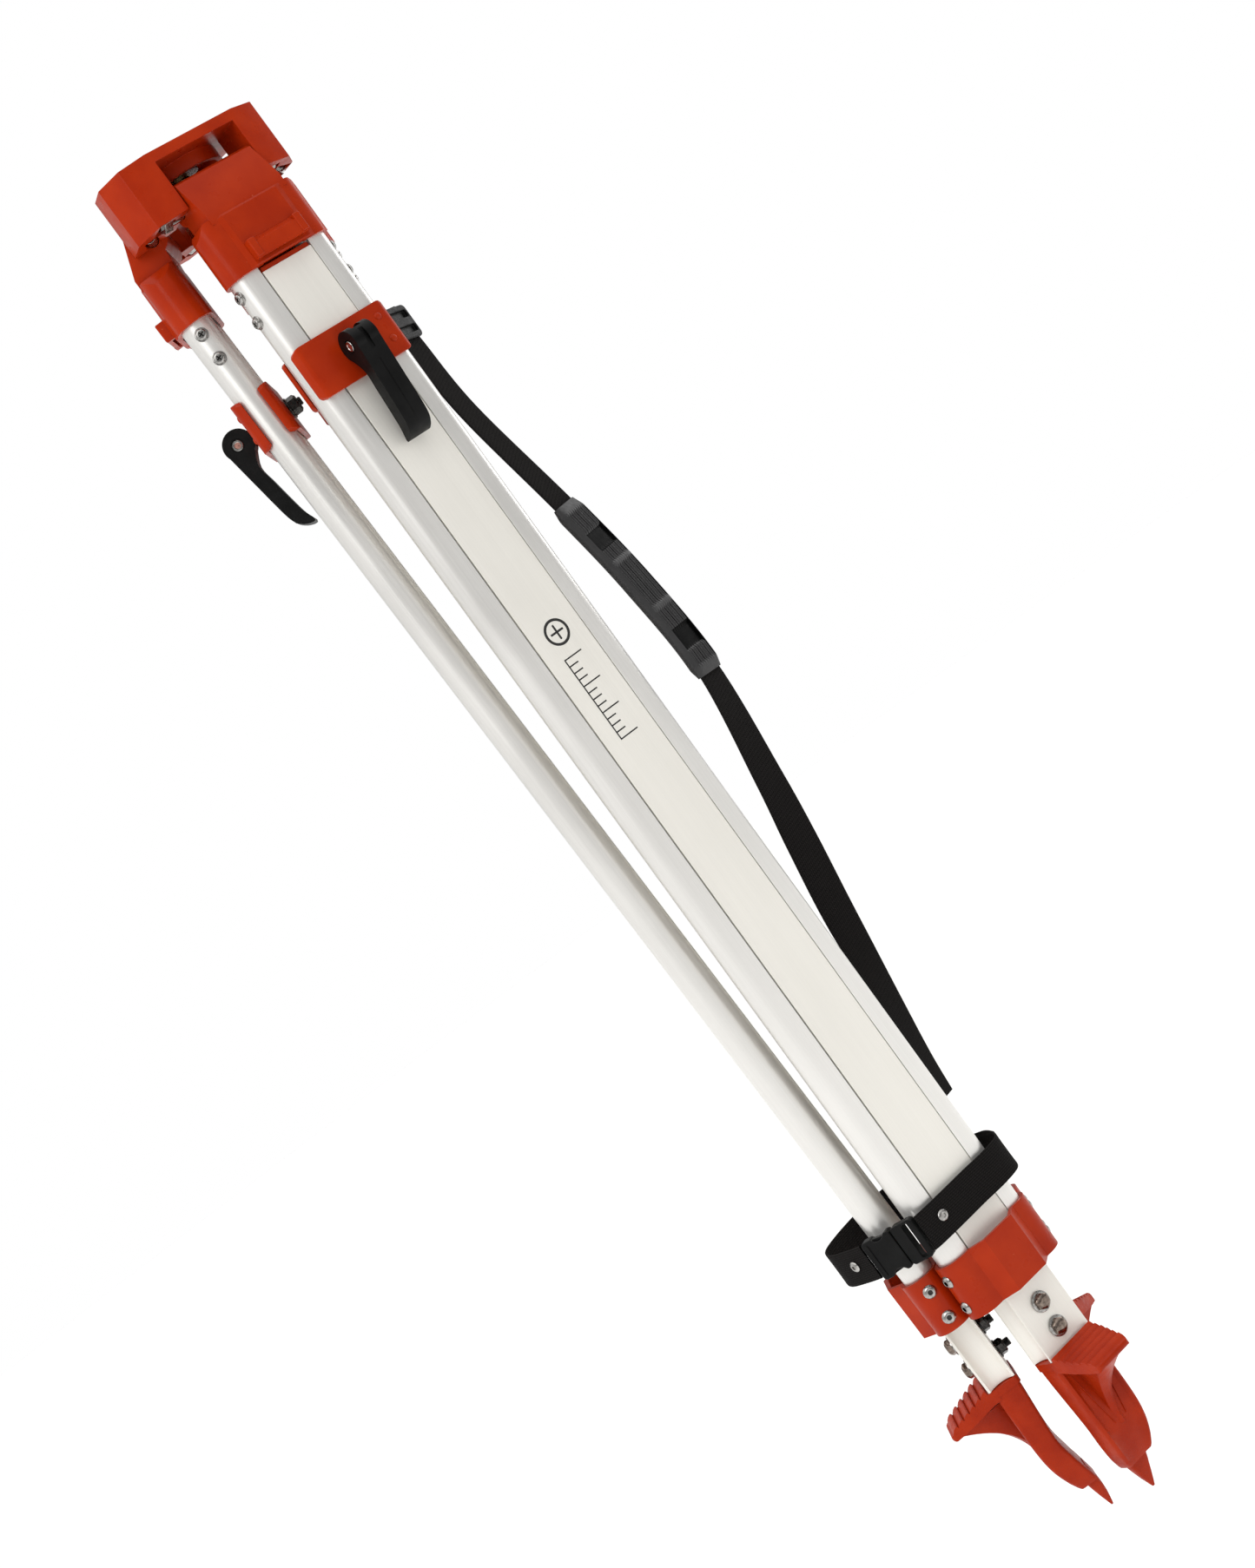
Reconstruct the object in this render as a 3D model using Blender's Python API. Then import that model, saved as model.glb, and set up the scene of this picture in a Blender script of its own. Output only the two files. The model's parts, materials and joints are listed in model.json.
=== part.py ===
"""Contractor's surveying tripod, folded and standing on its three points.

Units are metres with +Z up, and the foot points rest on z = 0. Leg A faces -Y. Legs B and C are
the same leg turned by -120 and +120 degrees about the tripod's axis. Sizes below are in
millimetres. A leg is modelled in its own axes: x across the leg, -y outward, z up along it, with
z = 0 at its hinge pin and y = 0 at the middle of its tubes.
"""

import math

import bmesh
import bpy
from mathutils import Euler, Matrix, Vector

MM = 0.001
GAP = 0.3

# Whole tripod
HEIGHT = 1050.0
AXIS_X = -13.8                        # tripod's axis beside the origin, so that the folded
AXIS_Y = 4.8                          # outline with its straps is centred on the origin
LEG_TURNS = {"a": 0.0, "b": -120.0, "c": 120.0}
PIN_OFFSET = 34.0                     # hinge pin from the tripod's axis
PIN_DROP = 38.0                       # hinge pin below the head's top
LEG_LEAN = math.degrees(math.atan(0.0155))
MID_OFFSET = -10.4                    # middle of the tubes from the pin, outward

# Head casting
CORNER_REACH = 40.0
CORNER_RADIUS = 28.5
CORNER_FACETS = 3
PLATE_THICKNESS = 7.0
SKIRT_DEPTH = 42.0
NOTCH_HALF = 31.0
CENTRE_HOLE = 20.0
HUB_INNER = 28.5                      # wall under the plate round the screw's arm
HUB_OUTER = 32.0
HUB_DEPTH = 16.0
PIN_RADIUS = 4.4
PIN_NUT_END = -48.5
PIN_PLAIN_END = 44.0

# Centring screw and its arm
ARM_PIVOT_Y = 27.0
ARM_TOP = 10.0                        # below the head's top
ARM_THICKNESS = 4.0
SCREW_RADIUS = 7.9
KNOB_RADIUS = 14.0

# Leg tubes
TUBE_CENTRE = 26.5
TUBE_RADIUS = 10.7
LIP_X = 20.4
BULGE_CENTRE = 25.3
BULGE_RADIUS = 9.6
WALL = 1.6
RAIL_TOP = -25.0
RAIL_BOTTOM = -846.0
PANEL_HALF = 19.55
PANEL_FRONT = 10.3
INNER_TOP = -61.0
INNER_BOTTOM = -900.0
INNER_SHIFT = 0.45                    # side play of the sliding leg

# Castings on the leg
SLEEVE_HALF = 40.4
SLEEVE_DEPTH = 13.5
SOCKET_HALF = 37.5
SOCKET_DEPTH = 11.0
BRACKET_TOP = -18.0
BRACKET_BOTTOM = -57.5
LOWER_TOP = -809.0
LOWER_BOTTOM = -848.0

# Clamp
CLAMP_Z = -130.0
CLAMP_HEIGHT = 36.0
CAM_PIN_Y = -25.4
CAM_RADIUS = 10.5
CAM_THROW = 0.6
LEVER_HALF = 8.8
LEVER_TIP = -197.0
CLAMP_BOLT_RADIUS = 3.0

# Foot
FOOT_BOLTS = {"upper": -866.5, "lower": -885.5}
TIP_Z = -1012.0
TREAD_REACH = 47.0
GUSSET_HALF = 3.2
GUSSET_FLARE = 8.5                    # extra half-width of the gusset under the tread

# Webbing
STRAP_WIDTH = 25.0
STRAP_THICKNESS = 1.6
BAND_Z = -782.0


# ---------------------------------------------------------------- materials

def material(name, colour, roughness, metallic=0.0):
    mat = bpy.data.materials.new(name)
    mat.use_nodes = True
    shader = mat.node_tree.nodes["Principled BSDF"]
    shader.inputs["Base Color"].default_value = (*colour, 1.0)
    shader.inputs["Roughness"].default_value = roughness
    shader.inputs["Metallic"].default_value = metallic
    return mat


def make_materials():
    return {
        "red_paint": material("red_paint", (0.56, 0.05, 0.02), 0.38),
        "aluminium": material("aluminium", (0.80, 0.80, 0.79), 0.32, 1.0),
        "steel": material("steel", (0.55, 0.54, 0.52), 0.28, 1.0),
        "dark_steel": material("dark_steel", (0.16, 0.15, 0.14), 0.35, 1.0),
        "brass": material("brass", (0.72, 0.55, 0.28), 0.30, 1.0),
        "black_plastic": material("black_plastic", (0.012, 0.012, 0.013), 0.45),
        "webbing": material("webbing", (0.010, 0.010, 0.011), 0.85),
        "rubber": material("rubber", (0.018, 0.018, 0.019), 0.70),
    }


# ---------------------------------------------------------------- mesh tools

def finish_mesh(bm, name):
    """Close a bmesh given in millimetres into an object in metres."""
    bmesh.ops.recalc_face_normals(bm, faces=bm.faces)
    bmesh.ops.scale(bm, vec=(MM, MM, MM), verts=bm.verts)
    mesh = bpy.data.meshes.new(name)
    bm.to_mesh(mesh)
    bm.free()
    obj = bpy.data.objects.new(name, mesh)
    bpy.context.collection.objects.link(obj)
    return obj


def loft(name, rings):
    """Join rings of equal length, each a list of points, and cap both ends."""
    bm = bmesh.new()
    loops = [[bm.verts.new(point) for point in ring] for ring in rings]
    count = len(rings[0])
    for low, high in zip(loops, loops[1:]):
        for i in range(count):
            j = (i + 1) % count
            bm.faces.new((low[i], low[j], high[j], high[i]))
    bm.faces.new(reversed(loops[0]))
    bm.faces.new(loops[-1])
    return finish_mesh(bm, name)


AXIS_POINT = {
    "x": lambda a, b, t: (t, a, b),
    "y": lambda a, b, t: (a, t, b),
    "z": lambda a, b, t: (a, b, t),
}


def prism(outline, low, high, axis="z", name="prism"):
    """Extrude an outline of (a, b) pairs along an axis, from low to high."""
    place = AXIS_POINT[axis]
    return loft(name, [[place(a, b, t) for a, b in outline] for t in (low, high)])


def hollow_prism(outer, inner, low, high, name="tube"):
    """Extrude a ring between two outlines with equal point counts along z."""
    bm = bmesh.new()
    loops = [[bm.verts.new((a, b, z)) for a, b in outline]
             for outline, z in ((outer, low), (outer, high), (inner, high), (inner, low))]
    for near, far in zip(loops, loops[1:] + loops[:1]):
        for i in range(len(outer)):
            j = (i + 1) % len(outer)
            bm.faces.new((near[i], near[j], far[j], far[i]))
    return finish_mesh(bm, name)


def box(x, y, z, name="box"):
    return prism([(x[0], y[0]), (x[1], y[0]), (x[1], y[1]), (x[0], y[1])], z[0], z[1], name=name)


def cylinder(radius, start, end, sides=24, name="cylinder", top_radius=None):
    """A round bar between two points, or a hexagonal one with six sides."""
    start = Vector(start)
    span = Vector(end) - start
    turn = span.to_track_quat("Z", "Y").to_matrix().to_4x4()
    bm = bmesh.new()
    bmesh.ops.create_cone(bm, cap_ends=True, segments=sides, radius1=radius,
                          radius2=radius if top_radius is None else top_radius, depth=span.length,
                          matrix=Matrix.Translation(start + span / 2) @ turn)
    return finish_mesh(bm, name)


def combine(body, operation, *tools):
    """Apply a Boolean with each tool in turn, then drop the tools."""
    for tool in tools:
        modifier = body.modifiers.new("combine", "BOOLEAN")
        modifier.operation = operation
        modifier.solver = "EXACT"
        modifier.object = tool
        graph = bpy.context.evaluated_depsgraph_get()
        mesh = bpy.data.meshes.new_from_object(body.evaluated_get(graph))
        body.modifiers.clear()
        body.data = mesh
        bpy.data.objects.remove(tool)
    return body


def cut(body, *tools):
    return combine(body, "DIFFERENCE", *tools)


def fuse(body, *tools):
    return combine(body, "UNION", *tools)


def arc(centre, radius, start, end, steps):
    """Points of a circular arc, angles in degrees."""
    points = []
    for i in range(steps + 1):
        angle = math.radians(start + (end - start) * i / steps)
        points.append((centre[0] + radius * math.cos(angle), centre[1] + radius * math.sin(angle)))
    return points


def stadium(half_width, depth, steps=8):
    """A flat oval with round ends, half_width by depth either side of the centre."""
    centre = half_width - depth
    return arc((centre, 0), depth, -90, 90, steps) + arc((-centre, 0), depth, 90, 270, steps)


def rounded_box_outline(half_a, half_b, radius, steps=4, centre=(0.0, 0.0)):
    points = []
    for sign_a, sign_b, start in ((1, 1, 0), (-1, 1, 90), (-1, -1, 180), (1, -1, 270)):
        corner = (centre[0] + sign_a * (half_a - radius), centre[1] + sign_b * (half_b - radius))
        points += arc(corner, radius, start, start + 90, steps)
    return points


def place(obj, name, slot, materials, parent=None, location=(0.0, 0.0, 0.0)):
    """Name a finished piece, give it its material and hang it on its parent."""
    obj.name = name
    obj.data.name = name
    obj.data.materials.clear()
    obj.data.materials.append(materials[slot])
    obj.data.shade_smooth()
    obj.data.set_sharp_from_angle(angle=math.radians(35))
    obj.parent = parent
    obj.location = [value * MM for value in location]
    return obj


def copy_piece(obj, name, parent):
    twin = bpy.data.objects.new(name, obj.data)
    bpy.context.collection.objects.link(twin)
    twin.parent = parent
    twin.location = obj.location
    return twin


def empty(name, location, parent=None, turn=(0.0, 0.0, 0.0)):
    obj = bpy.data.objects.new(name, None)
    bpy.context.collection.objects.link(obj)
    obj.parent = parent
    obj.location = [value * MM for value in location]
    obj.rotation_euler = Euler([math.radians(value) for value in turn], "XYZ")
    return obj


# ---------------------------------------------------------------- head

def outward(turn):
    """Unit vector pointing out of the leg turned by this angle."""
    angle = math.radians(turn)
    return Vector((math.sin(angle), -math.cos(angle), 0))


def across(turn):
    angle = math.radians(turn)
    return Vector((math.cos(angle), math.sin(angle), 0))


def head_outline():
    """Rounded triangle with a corner midway between each pair of legs."""
    points = []
    for middle in (-30, 90, 210):
        angle = math.radians(middle)
        centre = (CORNER_REACH * math.cos(angle), CORNER_REACH * math.sin(angle))
        points += arc(centre, CORNER_RADIUS, middle - 60, middle + 60, CORNER_FACETS)
    return points


def notch_star():
    """Outline of the three leg notches, which meet in the middle of the head."""
    points = []
    for turn in (0, 120, 240):
        corner = outward(turn - 60) * (NOTCH_HALF / math.sin(math.radians(60)))
        points.append((corner.x, corner.y))
        for side in (-1, 1):
            mouth = outward(turn) * 90 + across(turn) * NOTCH_HALF * side
            points.append((mouth.x, mouth.y))
    return points


def head_plate():
    head = prism(head_outline(), HEIGHT - SKIRT_DEPTH, HEIGHT)
    head = cut(head, prism(notch_star(), HEIGHT - SKIRT_DEPTH - 5, HEIGHT - PLATE_THICKNESS))
    hub = arc((0, 0), HUB_OUTER, 112, 428, 20) + arc((0, 0), HUB_INNER, 428, 112, 20)
    fuse(head, prism(hub, HEIGHT - HUB_DEPTH, HEIGHT - PLATE_THICKNESS + 1))
    top = Vector((0, 0, HEIGHT))
    cut(head, cylinder(CENTRE_HOLE, (0, 0, HEIGHT - 20), (0, 0, HEIGHT + 5), 40))
    cut(head, cylinder(3.3, (0, ARM_PIVOT_Y, HEIGHT - 12), (0, ARM_PIVOT_Y, HEIGHT - 3), 16))
    for turn in LEG_TURNS.values():
        frame = Matrix.Translation(outward(turn) * PIN_OFFSET + top) @ Matrix.Rotation(
            math.radians(turn), 4, "Z")
        bore = PIN_RADIUS + GAP
        cradle = box((NOTCH_HALF - 3, 46.5), (-bore, bore), (-SKIRT_DEPTH - 3, -PIN_DROP))
        round_top = cylinder(bore, (NOTCH_HALF - 3, 0, -PIN_DROP), (46.5, 0, -PIN_DROP), 24)
        other = box((-39.5, 3 - NOTCH_HALF), (-bore, bore), (-SKIRT_DEPTH - 3, -PIN_DROP))
        other_top = cylinder(bore, (-39.5, 0, -PIN_DROP), (3 - NOTCH_HALF, 0, -PIN_DROP), 24)
        pocket = box((-51, -39), (-8.2, 8.2), (-SKIRT_DEPTH - 3, -PIN_DROP + 8.2))
        for tool in (cradle, round_top, other, other_top, pocket):
            tool.data.transform(Matrix.Diagonal((1 / MM, 1 / MM, 1 / MM, 1)))
            tool.data.transform(frame)
            tool.data.transform(Matrix.Diagonal((MM, MM, MM, 1)))
            cut(head, tool)
    return head


def hinge_pin():
    """Through pin along x, with its nut at the -x end."""
    pin = cylinder(PIN_RADIUS, (PIN_NUT_END, 0, 0), (PIN_PLAIN_END, 0, 0), 24)
    nut = cylinder(7.5, (PIN_NUT_END + 1.5, 0, 0), (PIN_NUT_END + 7.5, 0, 0), 6)
    return fuse(pin, nut)


def screw_arm():
    """Flat arm that carries the centring screw, slotted along its length."""
    half = 11.0
    low = HEIGHT - ARM_TOP - ARM_THICKNESS
    ends = arc((0, ARM_PIVOT_Y), 7.0, 0, 180, 8) + arc((0, -10), half, 180, 360, 10)
    slot = arc((0, 6), 5.3, 0, 180, 8) + arc((0, -6), 5.3, 180, 360, 8)
    arm = prism(ends, low, low + ARM_THICKNESS)
    cut(arm, prism(slot, low - 3, low + ARM_THICKNESS + 3))
    return cut(arm, cylinder(3.5, (0, ARM_PIVOT_Y, low - 3), (0, ARM_PIVOT_Y, low + 8), 20))


def screw_arm_pin():
    low = HEIGHT - ARM_TOP - ARM_THICKNESS
    pin = cylinder(3.1, (0, ARM_PIVOT_Y, low - 1), (0, ARM_PIVOT_Y, HEIGHT - 3.4), 20)
    shoulder = cylinder(5.0, (0, ARM_PIVOT_Y, HEIGHT - ARM_TOP + GAP),
                        (0, ARM_PIVOT_Y, HEIGHT - PLATE_THICKNESS - GAP), 20)
    rivet = cylinder(5.5, (0, ARM_PIVOT_Y, low - 3), (0, ARM_PIVOT_Y, low - GAP), 20)
    return fuse(pin, shoulder, rivet)


def screw_bush():
    """Bush that slides in the arm's slot and lets the screw turn in it."""
    low = HEIGHT - ARM_TOP - ARM_THICKNESS
    bush = cylinder(5.0, (0, 0, low - 1), (0, 0, low + ARM_THICKNESS + 1), 24)
    flange = cylinder(8.6, (0, 0, low - 2), (0, 0, low - GAP), 24)
    fuse(bush, flange)
    return cut(bush, cylinder(3.9, (0, 0, low - 6), (0, 0, low + 10), 24))


def centring_screw():
    """Instrument screw with its knob, turned about Z."""
    low = HEIGHT - ARM_TOP - ARM_THICKNESS
    neck = cylinder(3.6, (0, 0, low - 6), (0, 0, low + ARM_THICKNESS + 3), 24)
    thread = cylinder(SCREW_RADIUS, (0, 0, low + ARM_THICKNESS + 1.5), (0, 0, HEIGHT - 1), 28)
    barrel = cylinder(9.0, (0, 0, low - 26), (0, 0, low - 2.5), 28)
    knob = cylinder(KNOB_RADIUS, (0, 0, low - 46), (0, 0, low - 24), 28)
    nose = cylinder(5.0, (0, 0, low - 52), (0, 0, low - 45), 20)
    fuse(neck, thread, barrel, knob, nose)
    eye = cylinder(1.6, (-9, 0, low - 49.5), (9, 0, low - 49.5), 16)
    return cut(neck, eye)


# Plumb hook route, from its eye in the screw's nose to the open hook at its foot
HOOK_ROUTE = [(-4.2, 0.0, 0.0), (-6.6, 0.4, -3.5), (-3.8, 0.6, -14.0), (-0.6, 0.5, -30.0),
              (0.0, 0.0, -50.0), (0.6, -0.8, -62.0), (5.4, -1.4, -70.0), (3.2, -1.6, -78.0),
              (-3.6, -1.2, -77.0), (-5.2, -0.8, -71.0)]
HOOK_EYE_Z = HEIGHT - ARM_TOP - ARM_THICKNESS - 49.5


def smooth_route(points, per_span):
    """Catmull-Rom curve through the points."""
    route = []
    padded = [points[0]] + list(points) + [points[-1]]
    padded = [Vector(point) for point in padded]
    for i in range(len(points) - 1):
        p0, p1, p2, p3 = padded[i:i + 4]
        for k in range(per_span):
            t = k / per_span
            route.append(0.5 * ((2 * p1) + (p2 - p0) * t + (2 * p0 - 5 * p1 + 4 * p2 - p3) * t * t
                                + (3 * p1 - p0 - 3 * p2 + p3) * t ** 3))
    route.append(padded[-2])
    return route


def plumb_hook():
    """Bent wire: a crosspiece through the screw's nose, a shank and an open hook."""
    start = [(4.6, 0.0, 0.0)]
    route = smooth_route(start + HOOK_ROUTE, 3)
    rings = []
    side = Vector((0, 1, 0))
    for i, point in enumerate(route):
        ahead = (route[min(i + 1, len(route) - 1)] - route[max(i - 1, 0)]).normalized()
        other = ahead.cross(side).normalized()
        rings.append([point + side * 1.1 * math.cos(a) + other * 1.1 * math.sin(a)
                      for a in [math.radians(60 * k) for k in range(6)]])
    hook = loft("hook", rings)
    hook.data.transform(Matrix.Translation((0, 0, HOOK_EYE_Z * MM)))
    return hook


# ---------------------------------------------------------------- leg tubes

def rail_outline(inset=0.0, side=1):
    """Outer tube: round outside, flat lips, and a round bulge that guides the sliding leg."""
    reach = 58.0
    points = arc((TUBE_CENTRE, 0), TUBE_RADIUS - inset, -90, 90, 12)
    points.append((LIP_X + inset, TUBE_RADIUS - inset))
    points += arc((BULGE_CENTRE, 0), BULGE_RADIUS - inset, 180 - reach, 180 + reach, 8)
    points.append((LIP_X + inset, inset - TUBE_RADIUS))
    return [(side * x, y) for x, y in points]


def outer_rail(side):
    return hollow_prism(rail_outline(0, side), rail_outline(WALL, side), RAIL_BOTTOM, RAIL_TOP)


def inner_outline(inset=0.0):
    """Sliding leg: flat front and back panels with a channel in each side."""
    radius = BULGE_RADIUS + 0.8 + inset
    reach = math.degrees(math.acos((BULGE_CENTRE - PANEL_HALF + inset) / radius))
    half = PANEL_HALF - inset
    front = PANEL_FRONT - inset
    right = [(half, -front)] + arc((BULGE_CENTRE, 0), radius, 180 + reach, 180 - reach, 8)
    right.append((half, front))
    left = [(-x, -y) for x, y in right]
    return right + left


def inner_rail():
    rail = hollow_prism(inner_outline(), inner_outline(WALL), INNER_BOTTOM, INNER_TOP)
    rail.data.transform(Matrix.Translation((INNER_SHIFT * MM, 0, 0)))
    holes = [(CLAMP_Z, CLAMP_BOLT_RADIUS)] + [(z, 3.0) for z in FOOT_BOLTS.values()]
    for z, radius in holes:
        cut(rail, cylinder(radius + GAP, (0, -20, z), (0, 20, z), 20))
    return rail


# ---------------------------------------------------------------- leg castings

def top_bracket():
    """Hinge casting at the top of a leg, with a bridge bar across the sliding leg."""
    pin_y = -MID_OFFSET
    body = prism(stadium(SLEEVE_HALF, SLEEVE_DEPTH), BRACKET_BOTTOM, BRACKET_TOP)
    for side in (-1, 1):
        wedge = [(side * 50, BRACKET_TOP + 2), (side * 50, BRACKET_TOP - 12),
                 (side * SLEEVE_HALF, BRACKET_TOP - 7), (side * 33, BRACKET_TOP + 2)]
        cut(body, prism(wedge, -20, 20, "y"))
    profile = [(-SLEEVE_DEPTH, BRACKET_TOP - 4), (-SLEEVE_DEPTH, -14), (-3.5, 12.0), (0.0, 14.0),
               (pin_y - 3.5, 14.0)]
    profile += arc((pin_y, 0), 10.0, 80, -70, 8)
    profile += [(SLEEVE_DEPTH - 1.0, BRACKET_TOP - 4)]
    fuse(body, prism(profile, -30, 30, "x"))
    bar = [(-12.5, -41.0), (-16.0, -41.5), (-20.5, -45.0), (-20.5, -54.5), (-12.5, -54.5)]
    fuse(body, prism(bar, -20.5, 20.5, "x"))
    cut(body, prism(stadium(SOCKET_HALF, SOCKET_DEPTH), BRACKET_BOTTOM - 5, RAIL_TOP + 1.0))
    cut(body, box((-16.5, 16.5), (-17.8, -8.0), (BRACKET_BOTTOM - 5, -46.5)))
    return cut(body, cylinder(PIN_RADIUS + GAP, (-40, pin_y, 0), (40, pin_y, 0), 24))


def bridge_outline(inset):
    """Raised front of the lower bracket, seen from above."""
    return [(-23.5 + inset, -8), (-23.5 + inset, -12.6 + inset / 2), (-13.2 + inset / 3, -22 + inset),
            (13.2 - inset / 3, -22 + inset), (23.5 - inset, -12.6 + inset / 2), (23.5 - inset, -8)]


def lower_bracket():
    body = prism(stadium(SLEEVE_HALF, SLEEVE_DEPTH), LOWER_BOTTOM, LOWER_TOP)
    fuse(body, prism(bridge_outline(0), LOWER_BOTTOM, LOWER_TOP))
    cut(body, prism(stadium(SOCKET_HALF, SOCKET_DEPTH), LOWER_BOTTOM - 5, LOWER_TOP + 5))
    return cut(body, prism(bridge_outline(3.0), LOWER_BOTTOM - 5, LOWER_TOP + 5))


# ---------------------------------------------------------------- clamp

def clamp_plate(side):
    """Cheek that grips the tubes, side -1 in front and 1 behind, with rolled edges."""
    outer = [(-37.4, 6.8)] + arc((-30.8, 7.4), 6.6, 180, 90, 5)
    inner = [(-31.8, 11.0), (-34.4, 8.6), (-35.5, 6.8)]
    left = outer
    right = [(-x, y) for x, y in reversed(outer)]
    under = [(-x, y) for x, y in reversed(inner)]
    outline = [(x, side * y) for x, y in left + right + under + inner]
    half = CLAMP_HEIGHT / 2
    plate = prism(outline, CLAMP_Z - half, CLAMP_Z + half)
    mask = rounded_box_outline(38.0, half + 0.1, 6.0, 4, (0, CLAMP_Z))
    combine(plate, "INTERSECT", prism(mask, -20, 20, "y"))
    hole = cylinder(CLAMP_BOLT_RADIUS + GAP, (0, -25, CLAMP_Z), (0, 25, CLAMP_Z), 20)
    return cut(plate, hole)


def clamp_bolt():
    """Eye bolt through the leg; the cam lever turns on its eye."""
    shaft = cylinder(CLAMP_BOLT_RADIUS, (0, CAM_PIN_Y, CLAMP_Z), (0, 24, CLAMP_Z), 20)
    eye = cylinder(5.4, (-3.1, CAM_PIN_Y, CLAMP_Z), (3.1, CAM_PIN_Y, CLAMP_Z), 20)
    fuse(shaft, eye)
    return cut(shaft, cylinder(2.7, (-6, CAM_PIN_Y, CLAMP_Z), (6, CAM_PIN_Y, CLAMP_Z), 20))


def clamp_nut():
    nut = cylinder(6.4, (0, 15.5, CLAMP_Z), (0, 22.0, CLAMP_Z), 6)
    fuse(nut, cylinder(7.4, (0, 14.0 + GAP, CLAMP_Z), (0, 16.0, CLAMP_Z), 24))
    return cut(nut, cylinder(CLAMP_BOLT_RADIUS + 0.2, (0, 10, CLAMP_Z), (0, 30, CLAMP_Z), 20))


def clamp_lever():
    """Cam lever: a round cam head, slotted for the bolt's eye, and a tapering handle."""
    cam_y = CAM_PIN_Y + CAM_THROW
    head = cylinder(CAM_RADIUS, (-LEVER_HALF, cam_y, CLAMP_Z), (LEVER_HALF, cam_y, CLAMP_Z), 32)
    handle = [(cam_y - 9.6, CLAMP_Z - 4.2), (-28.2, -188.0), (-25.6, -193.5), (-20.6, LEVER_TIP + 1.2),
              (-15.6, LEVER_TIP), (-15.2, LEVER_TIP + 3.5), (-17.2, -186.0), (-22.4, -148.0),
              (cam_y + 7.8, CLAMP_Z - 7.0)]
    fuse(head, prism(handle, -LEVER_HALF, LEVER_HALF, "x"))
    slot = box((-3.6, 3.6), (CAM_PIN_Y - 6.2, 0), (CLAMP_Z - 6.2, CLAMP_Z + 20))
    cut(head, slot)
    return cut(head, cylinder(2.7, (-12, CAM_PIN_Y, CLAMP_Z), (12, CAM_PIN_Y, CLAMP_Z), 20))


def lever_pin():
    return cylinder(2.4, (-9.6, CAM_PIN_Y, CLAMP_Z), (9.6, CAM_PIN_Y, CLAMP_Z), 20)


# ---------------------------------------------------------------- foot

def blade_ring(z, front, back, half, corner=3.0):
    outline = rounded_box_outline(half, (back - front) / 2, corner, 2, (0, (front + back) / 2))
    return [(x, y, z) for x, y in outline]


def foot():
    """Cast shoe: spigot in the leg, ribbed tread, gusset and a blade that bends inward."""
    base = INNER_BOTTOM - GAP
    blade = loft("blade", [
        blade_ring(base - 3, -8.5, 10.5, 18.8), blade_ring(-950, -9.6, 6.4, 18.4),
        blade_ring(-966, -8.6, 8.2, 17.4), blade_ring(-978, -5.0, 10.6, 15.2),
        blade_ring(-988, -1.2, 12.6, 12.6)])
    spike = loft("spike", [
        blade_ring(-980, 3.0, 11.6, 8.6, 2.0), blade_ring(-992, 4.4, 12.6, 8.0, 2.0),
        blade_ring(-1002, 6.4, 12.2, 4.6, 1.6), blade_ring(TIP_Z, 8.6, 10.4, 0.9, 0.3)])
    flange = prism(rounded_box_outline(19.4, 11.4, 3.0, 3, (0, 0)), base - 6, base)
    spigot = prism(rounded_box_outline(12.4, 7.6, 2.0, 2, (INNER_SHIFT, 0)), base - 3, -857)
    tread_side = [(-6, base - 9), (-6, base), (-10.7, base), (-11.2, base + 3.4)]
    steps = 6
    for i in range(steps):
        y = -11.2 - (TREAD_REACH - 13.2) * (i + 1) / steps
        top = base + 3.4 - 10.5 * (i + 1) / steps
        tread_side += [(y + 1.5, top - 0.4), (y, top + 1.7)] if i < steps - 1 else [(y, top + 1.2)]
    tread_side += [(-TREAD_REACH, base - 10), (-TREAD_REACH + 1.5, base - 16.5), (-38, base - 15)]
    tread = prism(tread_side, -20, 20, "x")
    plan = [(-19.6, 0), (-19.4, -12), (-15.0, -43.5), (-11.5, -TREAD_REACH - 0.5),
            (11.5, -TREAD_REACH - 0.5), (15.0, -43.5), (19.4, -12), (19.6, 0)]
    combine(tread, "INTERSECT", prism(plan, base - 30, base + 10))
    rings = []
    for t in (0.0, 0.08, 0.18, 0.32, 0.5, 0.75, 1.0):
        front = -8.0 - 34.0 * (1 - t) ** 2.2
        flare = GUSSET_HALF + GUSSET_FLARE * (1 - t) ** 4
        low, high = base - 14 - 48 * t, base - 4 - 58 * t
        rings.append([(-flare, front, low), (flare, front, low), (GUSSET_HALF, -4, high),
                      (-GUSSET_HALF, -4, high)])
    gusset = loft("gusset", rings)
    fuse(flange, blade, spike, tread, gusset, spigot)
    for z in FOOT_BOLTS.values():
        cut(flange, cylinder(3.3, (0, -20, z), (0, 20, z), 20))
    return flange


def foot_bolt():
    """Hex bolt, washer and nut that hold the foot's spigot in the sliding leg."""
    face = PANEL_FRONT + GAP
    bolt = cylinder(3.0, (0, -face - 2, 0), (0, 20.5, 0), 12)
    washer = cylinder(7.0, (0, -face - 1.2, 0), (0, -face, 0), 18)
    head = cylinder(5.8, (0, -face - 4.8, 0), (0, -face - 1.0, 0), 6)
    back_washer = cylinder(6.6, (0, face, 0), (0, face + 1.2, 0), 18)
    nut = cylinder(5.8, (0, face + 1.0, 0), (0, face + 6.2, 0), 6)
    return fuse(bolt, washer, head, back_washer, nut)


# ---------------------------------------------------------------- webbing

def band_section(point, ahead, normal, width, thickness):
    """Corners of a flat band's cross section. The normal gives the way its flat side faces."""
    face = (normal - ahead * normal.dot(ahead)).normalized()
    side = ahead.cross(face)
    return [point + side * a * width / 2 + face * b * thickness / 2
            for a, b in ((-1, -1), (1, -1), (1, 1), (-1, 1))]


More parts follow.
